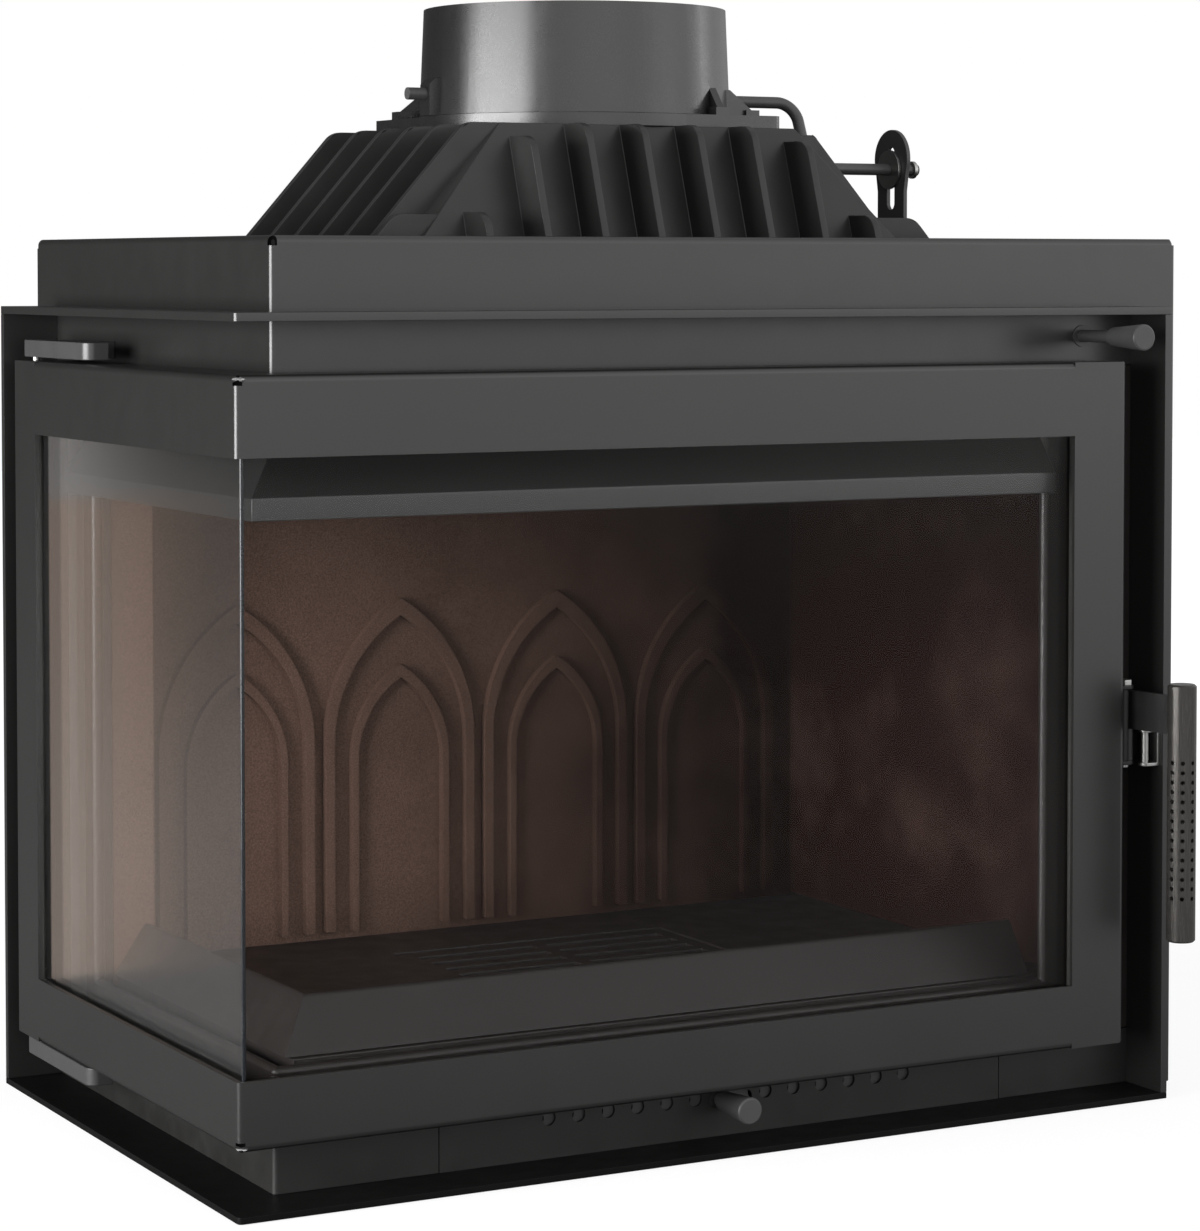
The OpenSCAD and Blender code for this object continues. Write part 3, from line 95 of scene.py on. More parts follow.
# Studio, in metres
ROOM_FRONT = (0.43, -0.80, -0.42)  # the way to the room's brightest side
FLOOR_SIZE = 14  # of each side
FLOOR_DROP = 0.5 * MM  # how far the floor lies below the insert's foot
FLOOR_GREY = (0.2, 0.2, 0.2)
FLOOR_LIFT_RANGE = (0.7, 2.4)  # distances over which the floor's own light grows to white
GLOW_WAY = (0.6, -0.8, 0)  # the way along the floor in which its mirrored glow grows
GLOW_RANGE = (0.1, 1.1)  # distances that way over which it grows
SENSOR_WIDTH = 36  # of the camera, in millimetres
VIEW_END = 60  # how far the camera sees
LAMPS = (  # name, as in NAME_level below, place, the point that it faces, width and height
    ("key", (-2.3, -0.2, 0.52), (0, 0, 0.5), (2.1, 0.95)),
    ("fill", (-0.75, -3.2, 1.1), (0, 0, 0.3), (2.4, 2.0)),
    ("side", (1.75, -2.0, 0.85), (0.3, -0.2, 0.45), (1.2, 1.0)),
    ("rim", (2.3, -0.35, 0.86), (0, 0, 0.66), (0.4, 0.5)),
    ("overhead", (0.3, 0.7, 2.6), (0, 0, 0.5), (2.0, 1.6)),
)
CARD_BEHIND = 0.32  # how far behind the side glass the card stands
CARD_EDGE = -0.44  # where the card starts, as the side glass mirrors it
CARD_WIDTH = 0.19  # how far it goes on to the left from there
CARD_STRIPS = 12  # strips in which the card fades, away from its edge
CARD_ROWS = ((0.01, 0.37), (0.37, 0.62))  # the card's lower and upper part
CARD_FADE = 2.2  # power by which it fades
CARD_LEAST = 0.02  # what is left of it in the last strip
CARD_TOP_FADE = 0.8  # how much less light than the lower part the upper part has at the end
CARD_WARMTH = (0.4, 0.6)  # the lower part's warmth at its edge, and how much more the end has
CARD_TOP_WARMTH = 0.1
CARD_TINT = (0, 0.5, 0.8)  # what full warmth takes from red, green and blue


# Sizes and colours

class PaintSettings(bpy.types.PropertyGroup):
    """Colours and sheen of the paints and metals"""
    sheet_colour: FloatVectorProperty(
        name="Sheet paint", description="Colour of the paint on the folded sheet",
        subtype="COLOR", size=3, default=(0.013, 0.013, 0.0125), min=0, max=1)
    cast_colour: FloatVectorProperty(
        name="Casting paint", description="Colour of the paint on the castings",
        subtype="COLOR", size=3, default=(0.022, 0.022, 0.0216), min=0, max=1)
    collar_colour: FloatVectorProperty(
        name="Collar paint", description="Colour of the flue collar",
        subtype="COLOR", size=3, default=(0.012, 0.012, 0.012), min=0, max=1)
    lining_colour: FloatVectorProperty(
        name="Lining", description="Colour of the fire chamber's linings",
        subtype="COLOR", size=3, default=(0.24, 0.15, 0.115), min=0, max=1)
    steel_colour: FloatVectorProperty(
        name="Dark steel", description="Colour of the rods, knobs and inner strips",
        subtype="COLOR", size=3, default=(0.055, 0.055, 0.055), min=0, max=1)
    sheet_roughness: FloatProperty(
        name="Sheet roughness", description="Roughness of the paint on the sheet",
        subtype="FACTOR", default=0.34, min=0, max=1)


class EdgeSettings(bpy.types.PropertyGroup):
    """Widths of the rounded edges"""
    cut: FloatProperty(
        name="Cut edge", description="Rounding of a laser-cut edge under its paint",
        unit="LENGTH", precision=5, default=0.35 * MM, min=0, max=0.002)
    cast: FloatProperty(
        name="Cast edge", description="Rounding of a casting's edges and roots",
        unit="LENGTH", precision=5, default=1.6 * MM, min=0, max=0.006)


class StudioSettings(bpy.types.PropertyGroup):
    """Camera and lamps"""
    camera_place: FloatVectorProperty(
        name="Camera", description="Place of the camera", subtype="TRANSLATION", size=3,
        unit="LENGTH", default=(-1.1114, -2.0953, 0.5410))
    camera_turn: FloatProperty(
        name="Camera turn", description="How far the camera is turned from +Y to +X",
        subtype="ANGLE", default=math.radians(28.350))
    camera_pitch: FloatProperty(
        name="Camera pitch", description="How far the camera looks down",
        subtype="ANGLE", default=math.radians(2.319))
    lens: FloatProperty(
        name="Lens", description="Focal length in millimetres", default=104.21, min=20, max=300)
    shift: FloatProperty(
        name="Shift", description="Vertical shift that frames the photo", default=-0.165)
    key_level: FloatProperty(
        name="Key light", description="Brightness of the lamp on the left", default=14.5, min=0)
    fill_level: FloatProperty(
        name="Fill light", description="Brightness of the lamp in front", default=0.15, min=0)
    side_level: FloatProperty(
        name="Side light", description="Brightness of the lamp at the front right",
        default=0.5, min=0)
    rim_level: FloatProperty(
        name="Rim light", description="Brightness of the lamp on the right", default=3, min=0)
    overhead_level: FloatProperty(
        name="Overhead light", description="Brightness of the lamp above", default=0.35, min=0)
    card_level: FloatProperty(
        name="Card", description="Brightness of what the side glass mirrors",
        default=0.62, min=0)
    room_front: FloatProperty(
        name="Room in front", description="Light from the front right", default=1.52, min=0)
    room_back: FloatProperty(
        name="Room behind", description="Light from the back left", default=0.03, min=0)
    mirrored_level: FloatProperty(
        name="Mirrored room", description="The least that gloss shows of the surround",
        default=0.03, min=0, max=1)
    floor_lift: FloatProperty(
        name="Floor lift", description="How white the floor near the insert is made",
        default=0.85, min=0)
    floor_glow: FloatProperty(
        name="Floor glow", description="What gloss shows of the floor at the front right",
        default=0.42, min=0)


# Modelling

def deselect():
    """Nothing selected, nothing in edit mode."""
    if bpy.context.object and bpy.context.object.mode != "OBJECT":
        bpy.ops.object.mode_set(mode="OBJECT")
    bpy.ops.object.select_all(action="DESELECT")


def activate(piece):
    """This piece alone selected and active."""
    deselect()
    piece.select_set(True)
    bpy.context.view_layer.objects.active = piece


def settle(name):
    """Names the primitive just added and moves its place into its mesh."""
    piece = bpy.context.object
    piece.name = name
    bpy.ops.object.transform_apply(location=True, rotation=True, scale=True)
    return piece


def apply_modifier(piece, kind, **values):
    """Adds one modifier with these values and applies it."""
    activate(piece)
    made = piece.modifiers.new(kind.title(), kind)
    for key, value in values.items():
        setattr(made, key, value)
    bpy.ops.object.modifier_apply(modifier=made.name)


def copy_of(node):
    """A merged, free copy of a CAD node's mesh as a piece of its own."""
    piece = bpy.data.objects.new(node + "_dressed", frame["nodes"][node].data.copy())
    bpy.context.scene.collection.objects.link(piece)
    activate(piece)
    bpy.ops.mesh.customdata_custom_splitnormals_clear()
    bpy.ops.object.mode_set(mode="EDIT")
    bpy.ops.mesh.select_all(action="SELECT")
    bpy.ops.mesh.remove_doubles(threshold=MERGE_GAP)
    bpy.ops.mesh.dissolve_limited(angle_limit=math.radians(FLAT_ANGLE))
    bpy.ops.object.mode_set(mode="OBJECT")
    if node in PIERCED_NODES:
        apply_modifier(piece, "TRIANGULATE", min_vertices=SPLIT_SIDES)
    return piece


def round_edges(piece, width, segments=2, angle=ROUND_ANGLE, clamp=True):
    """Rounds the edges that are sharper than this angle."""
    apply_modifier(piece, "BEVEL", width=width, segments=segments, limit_method="ANGLE",
                   angle_limit=math.radians(angle), miter_outer="MITER_ARC",
                   use_clamp_overlap=clamp)


def smooth(piece, angle=SMOOTH_ANGLE):
    """Smooth shading in which flat faces stay flat up to their rounded edges."""
    activate(piece)
    bpy.ops.object.shade_smooth_by_angle(angle=math.radians(angle))
    apply_modifier(piece, "WEIGHTED_NORMAL", mode="FACE_AREA", weight=50, keep_sharp=True)


def paint(piece, material):
    """This material alone on the piece."""
    piece.data.materials.clear()
    piece.data.materials.append(material)


def finish_piece(piece, body, slot, material, *nodes):
    """Paints a piece, ties it to its body and hides the CAD nodes it stands for; the slot is not used."""
    paint(piece, material)
    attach(piece, body)
    if nodes:
        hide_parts(*nodes)


def dress(node, material, width, segments=2, angle=ROUND_ANGLE, clamp=True):
    """A piece with rounded edges and its finish takes the place of a CAD node."""
    piece = copy_of(node)
    round_edges(piece, width, segments, angle, clamp)
    smooth(piece)
    finish_piece(piece, BODY_OF[node], SLOT_OF[node], material, node)


def relieve(piece, x, y, low, high):
    """Cuts the round relief at a fold's corner."""
    deselect()
    bpy.ops.mesh.primitive_cylinder_add(vertices=24, radius=RELIEF_R, depth=high - low,
                                        location=(x, y, (low + high) / 2))
    cutter = settle("relief_cutter")
    # the cut faces are painted black as the shade in the relief's hollow
    paint(cutter, relief_shade_black())
    apply_modifier(piece, "BOOLEAN", operation="DIFFERENCE", object=cutter, solver="MANIFOLD",
                   material_mode="TRANSFER")
    bpy.data.objects.remove(cutter)


def dress_folded(node, material, width, corners):
    """A CAD node of folded sheet, its edges rounded and the corners of its folds relieved."""
    piece = copy_of(node)
    round_edges(piece, width)
    finish_piece(piece, BODY_OF[node], SLOT_OF[node], material, node)
    for x, y, low, high in corners:
        relieve(piece, x, y, low, high)
    smooth(piece)


# Finishes

class Nodes:
    """A node tree that is built step by step."""

    def __init__(self, tree):
        self.tree = tree

    def node(self, kind, **values):
        """A new node with these values."""
        made = self.tree.nodes.new(kind)
        for key, value in values.items():
            setattr(made, key, value)
        return made

    def feed(self, value, socket):
        """Links another node's output to the socket, or sets it to a plain value."""
        if isinstance(value, bpy.types.NodeSocket):
            self.tree.links.new(value, socket)
        elif socket.type == "RGBA":
            socket.default_value = (*value, 1)
        else:
            socket.default_value = value

    def place(self):
        """The place on the piece, in metres."""
        return self.node("ShaderNodeTexCoord").outputs["Object"]

    def math(self, operation, *values):
        """What one math node makes of the values."""
        made = self.node("ShaderNodeMath", operation=operation)
        for socket, value in zip(made.inputs, values):
            self.feed(value, socket)
        return made.outputs[0]

    def along(self, vector, way):
        """How far the vector goes this way."""
        made = self.node("ShaderNodeVectorMath", operation="DOT_PRODUCT")
        self.feed(vector, made.inputs[0])
        self.feed(way, made.inputs[1])
        return made.outputs["Value"]

    def noise(self, scale, detail=3, roughness=0.5, stretch=None):
        """A cloudy pattern on the piece."""
        made = self.node("ShaderNodeTexNoise")
        made.inputs["Scale"].default_value = scale
        made.inputs["Detail"].default_value = detail
        made.inputs["Roughness"].default_value = roughness
        source = self.place()
        if stretch:
            mapping = self.node("ShaderNodeMapping")
            mapping.inputs["Scale"].default_value = stretch
            self.feed(source, mapping.inputs["Vector"])
            source = mapping.outputs["Vector"]
        self.feed(source, made.inputs["Vector"])
        return made.outputs["Fac"]

    def spread(self, value, low, high, start=0.3, end=0.7, curve="LINEAR"):
        """The value mapped from start..end to low..high."""
        made = self.node("ShaderNodeMapRange", interpolation_type=curve)
        self.feed(value, made.inputs["Value"])
        limits = {"From Min": start, "From Max": end, "To Min": low, "To Max": high}
        for key, number in limits.items():
            made.inputs[key].default_value = number
        return made.outputs["Result"]

    def mix(self, factor, first, second):
        """From the first colour to the second."""
        made = self.node("ShaderNodeMix", data_type="RGBA")
        for key, value in (("Factor", factor), ("A", first), ("B", second)):
            self.feed(value, made.inputs[key])
        return made.outputs["Result"]


class Finish(Nodes):
    """The nodes of one material, which is made once."""

    def __init__(self, name):
        self.material = bpy.data.materials.get(name)
        self.found = self.material is not None
        if not self.found:
            self.material = bpy.data.materials.new(name)
            self.material.use_nodes = True
        super().__init__(self.material.node_tree)

    def surface(self, **values):
        """Feeds the surface's sockets, whose names have _ for each space here."""
        bsdf = self.tree.nodes["Principled BSDF"]
        for key, value in values.items():
            self.feed(value, bsdf.inputs[key.replace("_", " ")])

    def bump(self, *heights):
        """Bumps of several heights, each (value, strength, distance), one on the other."""
        normal = None
        for value, strength, distance in heights:
            made = self.node("ShaderNodeBump")
            made.inputs["Strength"].default_value = strength
            made.inputs["Distance"].default_value = distance
            self.feed(value, made.inputs["Height"])
            if normal:
                self.feed(normal, made.inputs["Normal"])
            normal = made.outputs["Normal"]
        self.surface(Normal=normal)


def shade(colour, factor):
    """A colour made lighter or darker."""
    return tuple(max(0.0, min(1.0, c * factor)) for c in colour)


def painted(name, colour, roughness, grain, grain_depth, mottle=0.12, metallic=0.0, shine=0.5,
            sway=0.05):
    """Paint with a fine grain, slight mottling and a sheen that sways about its roughness."""
    s = Finish(name)
    if s.found:
        return s.material
    clouds = s.noise(MOTTLE_SCALE, detail=4, roughness=0.6)
    fine = s.noise(grain, detail=2, roughness=0.6)
    sheen = s.spread(s.noise(SHEEN_SCALE), roughness - sway, roughness + sway)
    s.surface(
        Base_Color=s.mix(s.spread(clouds, 0, 1), shade(colour, 1 - mottle), shade(colour, 1 + mottle)),
        Roughness=s.math("ADD", sheen, s.spread(fine, -GRAIN_SHEEN, GRAIN_SHEEN)),
        Metallic=metallic,
        Specular_IOR_Level=shine)
    s.bump((fine, 0.5, grain_depth))
    return s.material


def sheet_paint():
    """The black paint of the casing, the frame plates and the door."""
    p = bpy.context.scene.insert_paint
    return painted("sheet_paint", tuple(p.sheet_colour), roughness=p.sheet_roughness, grain=1300,
                   grain_depth=0.02 * MM, mottle=0.06, shine=0.7, sway=0.012)


def base_paint():
    """The duller paint of the base panels."""
    return painted("base_paint", (0.013, 0.0126, 0.012), roughness=0.42, grain=1300,
                   grain_depth=0.016 * MM)


def plate_shade_paint():
    """Near-black paint of the bottom plate, darkened as painted shade of the dark under the door."""
    return painted("plate_shade_paint", (0.004, 0.004, 0.0038), roughness=0.5, grain=1300,
                   grain_depth=0.016 * MM, shine=0.12)


def relief_shade_black():
    """Black, dull finish of the cut faces in a fold's relief: painted shade of the hollow."""
    return painted("relief_shade_black", (0.0015, 0.0015, 0.0015), roughness=0.9, grain=900,
                   grain_depth=0.02 * MM, shine=0.02)


def casting_paint():
    """The grey-black paint of the hood and the damper plate."""
    p = bpy.context.scene.insert_paint
    return painted("casting_paint", tuple(p.cast_colour), roughness=0.36, grain=900,
                   grain_depth=0.06 * MM, shine=0.35)


def chamber_shade_paint():
    """Darker, warmer paint of the castings in the chamber: painted shade inside the chamber with a warm
    tint of painted firelight.
    """
    return painted("chamber_shade_paint", (0.014, 0.0112, 0.0102), roughness=0.42, grain=900,
                   grain_depth=0.05 * MM, shine=0.45)


def collar_paint():
    """The glossier paint of the flue collar."""
    p = bpy.context.scene.insert_paint
    return painted("collar_paint", tuple(p.collar_colour), roughness=0.29, grain=1400,
                   grain_depth=0.04 * MM, mottle=0.05, shine=0.72, sway=0.02)


def gap_shade_black():
    """Black, dull finish of the ring round the collar's foot: painted shade of the gap between collar and
    flange.
    """
    return painted("gap_shade_black", (0.0015, 0.0015, 0.0015), roughness=0.9, grain=700,
                   grain_depth=0.1 * MM, shine=0.02)


def steel_paint():
    """The grey paint of the rods, knobs, glass retainers and gasket channel."""
    p = bpy.context.scene.insert_paint
    return painted("steel_paint", tuple(p.steel_colour), roughness=0.42, grain=1500,
                   grain_depth=0.02 * MM)


def bracket_paint():
    """The black paint of the handle's brackets."""
    return painted("bracket_paint", (0.008, 0.008, 0.0078), roughness=0.36, grain=1500,
                   grain_depth=0.02 * MM, shine=0.4)


def arm_paint():
    """The lighter grey paint of the hinge arms."""
    return painted("arm_paint", (0.052, 0.052, 0.052), roughness=0.34, grain=1400,
                   grain_depth=0.012 * MM, mottle=0.06)


def bare_steel():
    """Plain steel of screws, pins and nuts."""
    return painted("bare_steel", (0.42, 0.42, 0.41), roughness=0.35, grain=1800,
                   grain_depth=0.01 * MM, metallic=1.0)


def zinc_sheet():
    """Zinc-coated sheet of the ash pan."""
    return painted("zinc_sheet", (0.45, 0.46, 0.47), roughness=0.42, grain=300,
                   grain_depth=0.01 * MM, mottle=0.15, metallic=1.0)


def rope_fibre():
    """Dark glass fibre of the door's rope and the panes' tape."""
    return painted("rope_fibre", (0.06, 0.06, 0.056), roughness=0.9, grain=900,
                   grain_depth=0.3 * MM, mottle=0.25)


def bead_rubber():
    """Black, slightly blue bead between the panes."""
    return painted("bead_rubber", (0.006, 0.008, 0.011), roughness=0.25, grain=900,
                   grain_depth=0.01 * MM, mottle=0.2)


def handle_metal():
    """Dark metal of the handle's tube, brushed along its length."""
    s = Finish("handle_metal")
    if s.found:
        return s.material
    colour = (0.06, 0.056, 0.052)
    strokes = s.noise(STROKE_SCALE, roughness=0.6, stretch=STROKE_STRETCH)
    s.surface(
        Base_Color=s.mix(s.spread(strokes, 0, 1), shade(colour, 0.8), shade(colour, 1.2)),
        Roughness=s.spread(strokes, 0.16, 0.32),
        Metallic=0.55)
    s.bump((strokes, 0.4, 0.01 * MM))
    return s.material


def lining_finish():
    """Fire clay: brown and grainy, with painted shade and a red tint of painted firelight towards the
    right.
    """
    colour = tuple(bpy.context.scene.insert_paint.lining_colour)
    s = Finish("lining_finish")
    if s.found:
        return s.material
    # painted shade, tinted red as painted firelight, that grows towards the right
    rightward = s.spread(s.along(s.place(), (1, 0, 0)), 0, 1, PAINTED_SHADE_FROM, PAINTED_SHADE_TO)
    ragged = s.spread(s.noise(PAINTED_SHADE_SCALE, detail=5, roughness=0.6), -PAINTED_SHADE_RAGGED, PAINTED_SHADE_RAGGED)
    painted_shade = s.math("ADD", rightward, ragged)
    painted_shade_clay = s.mix(s.spread(painted_shade, 0, 1, 0, 1), colour, PAINTED_SHADE_AND_FLECKS)
    grain = s.noise(CLAY_GRAIN_SCALE)
    s.surface(
        Base_Color=s.mix(s.spread(grain, 0, 0.5), painted_shade_clay, PAINTED_SHADE_AND_FLECKS),
        Roughness=s.spread(s.noise(CLAY_SHEEN_SCALE), 0.75, 0.9),
        Specular_IOR_Level=0.05)
    lumps = s.noise(CLAY_LUMP_SCALE, detail=4)
    s.bump((lumps, 0.3, 0.3 * MM), (grain, 0.5, 0.05 * MM))
    return s.material


def fire_glass():
    """Clear pane: it mirrors more the flatter it is looked at, and shows what lies behind it."""
    s = Finish("fire_glass")
    if s.found:
        return s.material
    slant = s.node("ShaderNodeLayerWeight")
    slant.inputs["Blend"].default_value = 0.5
    curve = s.math("POWER", slant.outputs["Facing"], 3)
    s.surface(
        Base_Color=(0.97, 0.96, 0.95),
        Metallic=1.0,
        Roughness=0.12,
        Alpha=s.spread(curve, 0.004, 0.9, 0, 1))
    return s.material


# Pieces

class INSERT_OT_casing(bpy.types.Operator):
    """Dress the folded sheet casing and the frame plates"""
    bl_idname = "insert.casing"
    bl_label = "Casing"

    def execute(self, context):
        edges = context.scene.insert_edges
        low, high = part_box("upper_casing")
        dress_folded("upper_casing", sheet_paint(), edges.cut,
                     [(low[0], y, high[2] - RELIEF_H, high[2] + OVERCUT) for y in (low[1], high[1])])
        for node in ("right_panel", "back_panel"):
            dress(node, sheet_paint(), edges.cut)
        for node in ("base_corner_panel", "base_front_panel", "base_right_panel"):
            dress(node, base_paint(), edges.cut)
        # the bottom plate is painted near black as painted shade under the door
        dress("bottom_plate", plate_shade_paint(), edges.cut)
        for node in ("top_plate", "right_upright", "rear_left_upright"):
            dress(node, sheet_paint(), edges.cut)
        return {"FINISHED"}


class INSERT_OT_chamber(bpy.types.Operator):
    """Dress the cast fire chamber, its linings and what lies in it"""
    bl_idname = "insert.chamber"
    bl_label = "Fire chamber"

    def execute(self, context):
        edges = context.scene.insert_edges
        # the chamber's castings take a darker, warmer paint as painted shade and painted firelight
        dress("front_frame", chamber_shade_paint(), 0.8 * edges.cast, segments=3, clamp=False)
        for node in ("hearth_plate", "grate", "log_fence", "chamber_floor", "chamber_back",
                     "chamber_right", "chamber_left", "chamber_top"):
            dress(node, chamber_shade_paint(), edges.cast / 2)
        for node in ("rear_lining", "right_lining", "left_lining", "baffle"):
            dress(node, lining_finish(), edges.cast / 2)
        dress("air_guide", sheet_paint(), 2 * edges.cut)
        for node in ("air_box", "slider_guides", "air_slider"):
            dress(node, steel_paint(), edges.cut)
        dress("ash_pan", zinc_sheet(), edges.cut)
        return {"FINISHED"}


def collar_gap_shade():
    """The slightly uneven black ring round the collar's foot: painted shade of the gap there."""
    flange_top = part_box("collar_bolts")[1][2]
    deselect()
    bpy.ops.mesh.primitive_torus_add(
        major_segments=96, minor_segments=8, major_radius=COLLAR_FOOT_R, minor_radius=GAP_SHADE_R,
        location=(0, 0, flange_top - GAP_SHADE_SUNK))
    gap_shade = settle("collar_gap_shade")
    bpy.ops.object.mode_set(mode="EDIT")
    bpy.ops.mesh.select_all(action="SELECT")
    bpy.ops.transform.vertex_random(offset=GAP_SHADE_WAVER, uniform=1, seed=4)
    bpy.ops.object.mode_set(mode="OBJECT")
    smooth(gap_shade, 60)
    finish_piece(gap_shade, BODY_OF["flue_collar"], SLOT_OF["flue_collar"], gap_shade_black())


class INSERT_OT_hood(bpy.types.Operator):
    """Dress the ribbed hood and the flue collar"""
    bl_idname = "insert.hood"
    bl_label = "Hood and collar"

    def execute(self, context):
        edges = context.scene.insert_edges
        dress("hood", casting_paint(), edges.cast / 2, clamp=False)
        dress("flue_collar", collar_paint(), edges.cast / 2, segments=3)
        # black ring that stands in as painted shade of the gap at the collar's foot
        collar_gap_shade()
        dress("collar_bolts", bare_steel(), edges.cut)
        dress("damper_plate", casting_paint(), edges.cut)
        return {"FINISHED"}


class INSERT_OT_controls(bpy.types.Operator):
    """Dress the damper linkage and the knobs"""
    bl_idname = "insert.controls"
    bl_label = "Controls"

    def execute(self, context):
        edges = context.scene.insert_edges
        for node in ("damper_shaft", "link_plate", "control_rod", "control_knob", "rod_bush",
                     "rod_guide", "air_knob"):
            dress(node, steel_paint(), edges.cut)
        for node in ("crank_washers", "link_nuts"):
            dress(node, bare_steel(), edges.cut)
        return {"FINISHED"}


def pane_corner_bead():
    """The upright bead that fills the corner between the two panes."""
    side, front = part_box("glass_side"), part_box("glass_front")
    deselect()
    bpy.ops.mesh.primitive_cylinder_add(
        vertices=20, radius=BEAD_R, depth=side[1][2] - side[0][2],
        location=(side[0][0] + BEAD_R, front[0][1] + BEAD_R, (side[0][2] + side[1][2]) / 2))
    bead = settle("pane_corner_bead")
    round_edges(bead, bpy.context.scene.insert_edges.cut, angle=60)
    smooth(bead, 40)
    finish_piece(bead, BODY_OF["glass_side"], SLOT_OF["door_gasket"], bead_rubber())


class INSERT_OT_door(bpy.types.Operator):
    """Dress the door with its glass, seals, hinges and handle"""
    bl_idname = "insert.door"
    bl_label = "Door"

    def execute(self, context):
        edges = context.scene.insert_edges
        low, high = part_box("door_frame")
        dress_folded("door_frame", sheet_paint(), edges.cut,
                     [(low[0], low[1], high[2] - RELIEF_H, high[2] + OVERCUT),
                      (low[0], low[1], low[2] - OVERCUT, low[2] + RELIEF_H)])
        pane_corner_bead()
        for node in ("glass_front", "glass_side"):
            paint(frame["nodes"][node], fire_glass())
        for node in ("glass_retainers", "gasket_channel"):
            dress(node, steel_paint(), edges.cut)
        for node in ("handle_ears", "handle_lever"):
            dress(node, bracket_paint(), edges.cut)
        for node in ("glass_tape", "door_gasket"):
            paint(frame["nodes"][node], rope_fibre())
        for node in ("retainer_screws", "hinge_pins", "handle_pin", "latch_keeper"):
            dress(node, bare_steel(), edges.cut)
        dress("hinge_arms", arm_paint(), edges.cast / 2, segments=3)
        dress("handle_tube", handle_metal(), edges.cut, angle=50)
        return {"FINISHED"}


# Studio

def light_room(studio):
    """A room that is brightest at the front right, and white where the camera sees it itself."""
    world = bpy.data.worlds.new("Studio")
    world.use_nodes = True
    s = Nodes(world.node_tree)
    rays = s.node("ShaderNodeLightPath").outputs
    around = s.node("ShaderNodeTexCoord").outputs["Generated"]
    level = s.spread(s.along(around, ROOM_FRONT), studio.room_back, studio.room_front, -1, 1,
                     "SMOOTHSTEP")
    gloss = s.math("MULTIPLY", rays["Is Glossy Ray"], studio.mirrored_level)
    for least in (rays["Is Camera Ray"], rays["Is Transmission Ray"], gloss):
        level = s.math("MAXIMUM", level, least)
    back = world.node_tree.nodes["Background"]
    s.feed((1, 1, 1), back.inputs["Color"])
    s.feed(level, back.inputs["Strength"])
    bpy.context.scene.world = world


def lay_floor(studio):
    """Floor that keeps the insert's shadow and looks white around it."""
    deselect()
    bpy.ops.mesh.primitive_plane_add(size=FLOOR_SIZE, location=(0, 0, -FLOOR_DROP))
    floor = settle("studio_floor")
    s = Finish("studio_floor")
    rays = s.node("ShaderNodeLightPath").outputs
    away = s.node("ShaderNodeVectorMath", operation="LENGTH")
    s.feed(s.place(), away.inputs[0])
    lift = s.spread(away.outputs["Value"], studio.floor_lift, 1, *FLOOR_LIFT_RANGE)
    glow = s.spread(s.along(s.place(), GLOW_WAY), 0, studio.floor_glow, *GLOW_RANGE)
    s.surface(
        Base_Color=FLOOR_GREY,
        Roughness=0.9,
        Specular_IOR_Level=0.0,
        Emission_Color=(1, 1, 1),
        Emission_Strength=s.math("ADD", s.math("MULTIPLY", rays["Is Camera Ray"], lift),
                                 s.math("MULTIPLY", rays["Is Glossy Ray"], glow)))
    paint(floor, s.material)


def set_camera(studio):
    """The camera that frames the insert as the photo does."""
    scene = bpy.context.scene
    camera = bpy.data.objects.new("camera", bpy.data.cameras.new("camera"))
    scene.collection.objects.link(camera)
    camera.location = studio.camera_place
    camera.rotation_euler = (math.pi / 2 - studio.camera_pitch, 0, -studio.camera_turn)
    camera.data.sensor_width = SENSOR_WIDTH
    camera.data.lens = studio.lens
    camera.data.shift_y = studio.shift
    camera.data.clip_end = VIEW_END
    scene.camera = camera


def hang_lamp(name, place, target, size, level, colour=(1, 1, 1)):
    """Rectangular lamp whose face is this many times as bright as white."""
    data = bpy.data.lights.new(name, "AREA")
    data.shape = "RECTANGLE"
    data.size, data.size_y = size
    data.energy = level * math.pi * size[0] * size[1]
    data.color = colour
    made = bpy.data.objects.new(name, data)
    bpy.context.scene.collection.objects.link(made)
    made.location = place
    made.rotation_euler = (Vector(target) - Vector(place)).to_track_quat("-Z", "Y").to_euler()
    return made


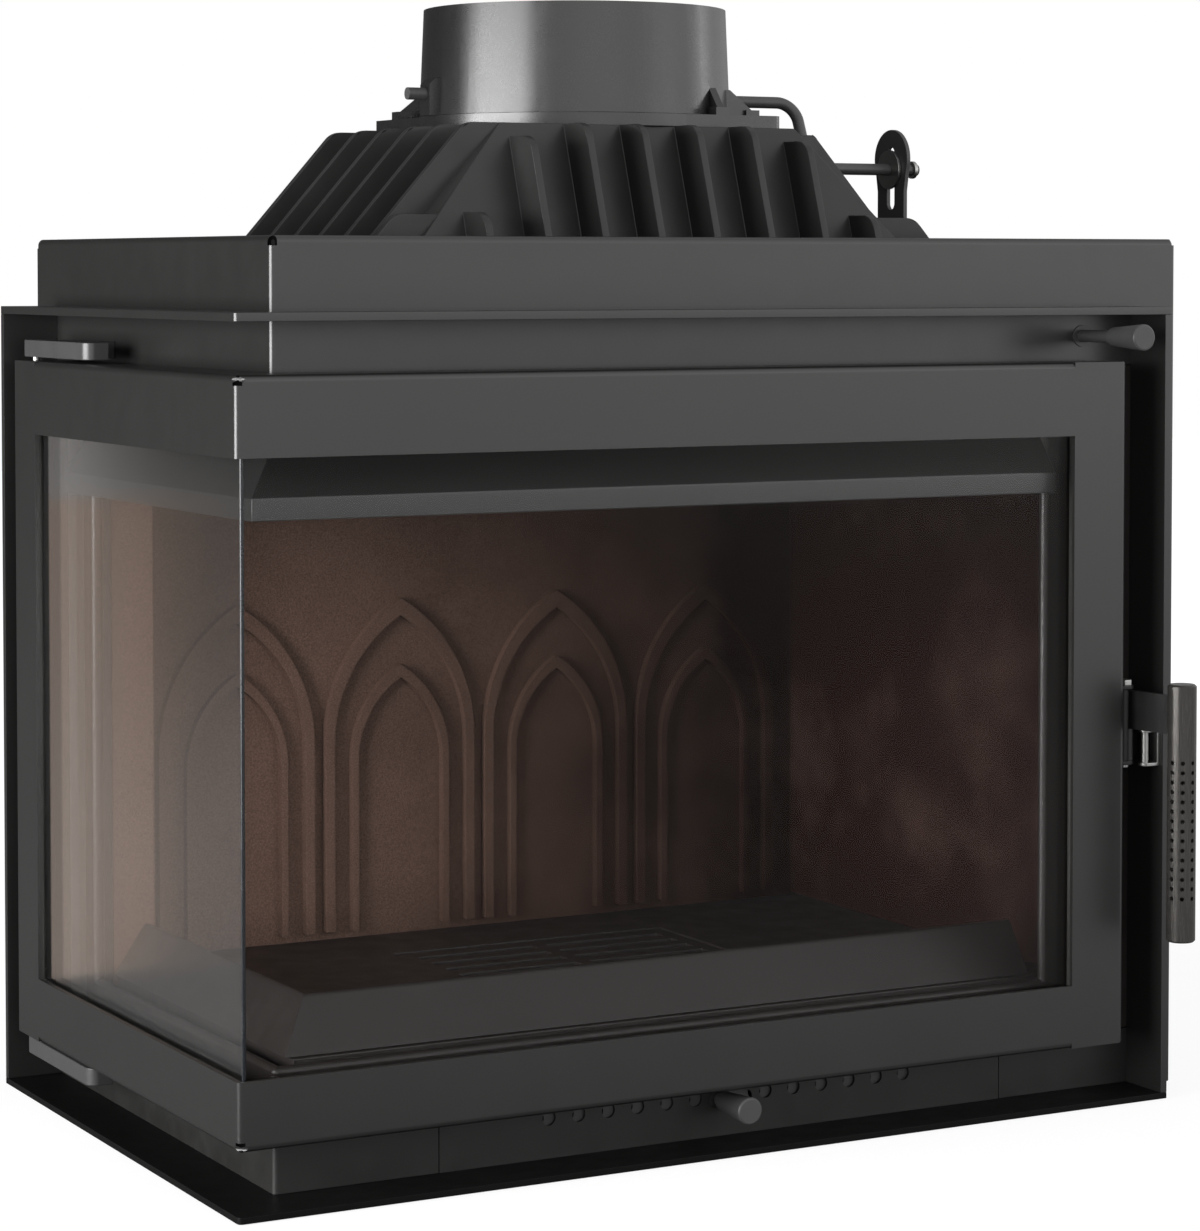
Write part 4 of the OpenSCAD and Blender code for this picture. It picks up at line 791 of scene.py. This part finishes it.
def hang_card(studio):
    """Strips of light that only the panes mirror: pale at the edge, then browner and darker."""
    panes = bpy.data.collections.new("panes")
    for node in ("glass_front", "glass_side"):
        panes.objects.link(frame["nodes"][node])
    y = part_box("glass_side")[1][1] + CARD_BEHIND
    width = CARD_WIDTH / CARD_STRIPS
    for number in range(CARD_STRIPS):
        inward = (number + 0.5) / CARD_STRIPS
        x = CARD_EDGE - inward * CARD_WIDTH
        share = (1 - inward) ** CARD_FADE + CARD_LEAST
        shares = (share, share * (1 - CARD_TOP_FADE * inward))
        warmths = (CARD_WARMTH[0] + CARD_WARMTH[1] * inward, CARD_TOP_WARMTH)
        for (low, high), level, warmth in zip(CARD_ROWS, shares, warmths):
            z = (low + high) / 2
            strip = hang_lamp(f"card_{number}", (x, y, z), (x, 0, z), (width, high - low),
                              studio.card_level * level, tuple(1 - warmth * k for k in CARD_TINT))
            strip.light_linking.receiver_collection = panes


class INSERT_OT_studio(bpy.types.Operator):
    """Set up the floor, the white surround, the lamps and the camera"""
    bl_idname = "insert.studio"
    bl_label = "Studio"

    def execute(self, context):
        studio = context.scene.insert_studio
        context.scene.view_settings.view_transform = "Standard"
        light_room(studio)
        lay_floor(studio)
        set_camera(studio)
        for name, place, target, size in LAMPS:
            hang_lamp(name, place, target, size, getattr(studio, name + "_level"))
        hang_card(studio)
        return {"FINISHED"}


class INSERT_PT_panel(bpy.types.Panel):
    """One button for each group of pieces, and the settings"""
    bl_label = "Fireplace Insert"
    bl_idname = "INSERT_PT_panel"
    bl_space_type = "VIEW_3D"
    bl_region_type = "UI"
    bl_category = "Fireplace"

    def draw(self, context):
        for operator in OPERATORS:
            self.layout.operator(operator.bl_idname)
        for name in SETTINGS:
            group = getattr(context.scene, name)
            box = self.layout.box()
            for key in group.__annotations__:
                box.prop(group, key)


SETTINGS = {"insert_paint": PaintSettings, "insert_edges": EdgeSettings, "insert_studio": StudioSettings}
OPERATORS = (INSERT_OT_casing, INSERT_OT_chamber, INSERT_OT_hood, INSERT_OT_controls,
             INSERT_OT_door, INSERT_OT_studio)
CLASSES = (*SETTINGS.values(), *OPERATORS, INSERT_PT_panel)


def register():
    for cls in CLASSES:
        bpy.utils.register_class(cls)
    for name, group in SETTINGS.items():
        setattr(bpy.types.Scene, name, PointerProperty(type=group))


def unregister():
    for name in SETTINGS:
        delattr(bpy.types.Scene, name)
    for cls in reversed(CLASSES):
        bpy.utils.unregister_class(cls)


def main():
    """Makes every piece and the studio."""
    register()
    bpy.ops.insert.casing()
    bpy.ops.insert.chamber()
    bpy.ops.insert.hood()
    bpy.ops.insert.controls()
    bpy.ops.insert.door()
    bpy.ops.insert.studio()


if __name__ == "__main__":
    main()
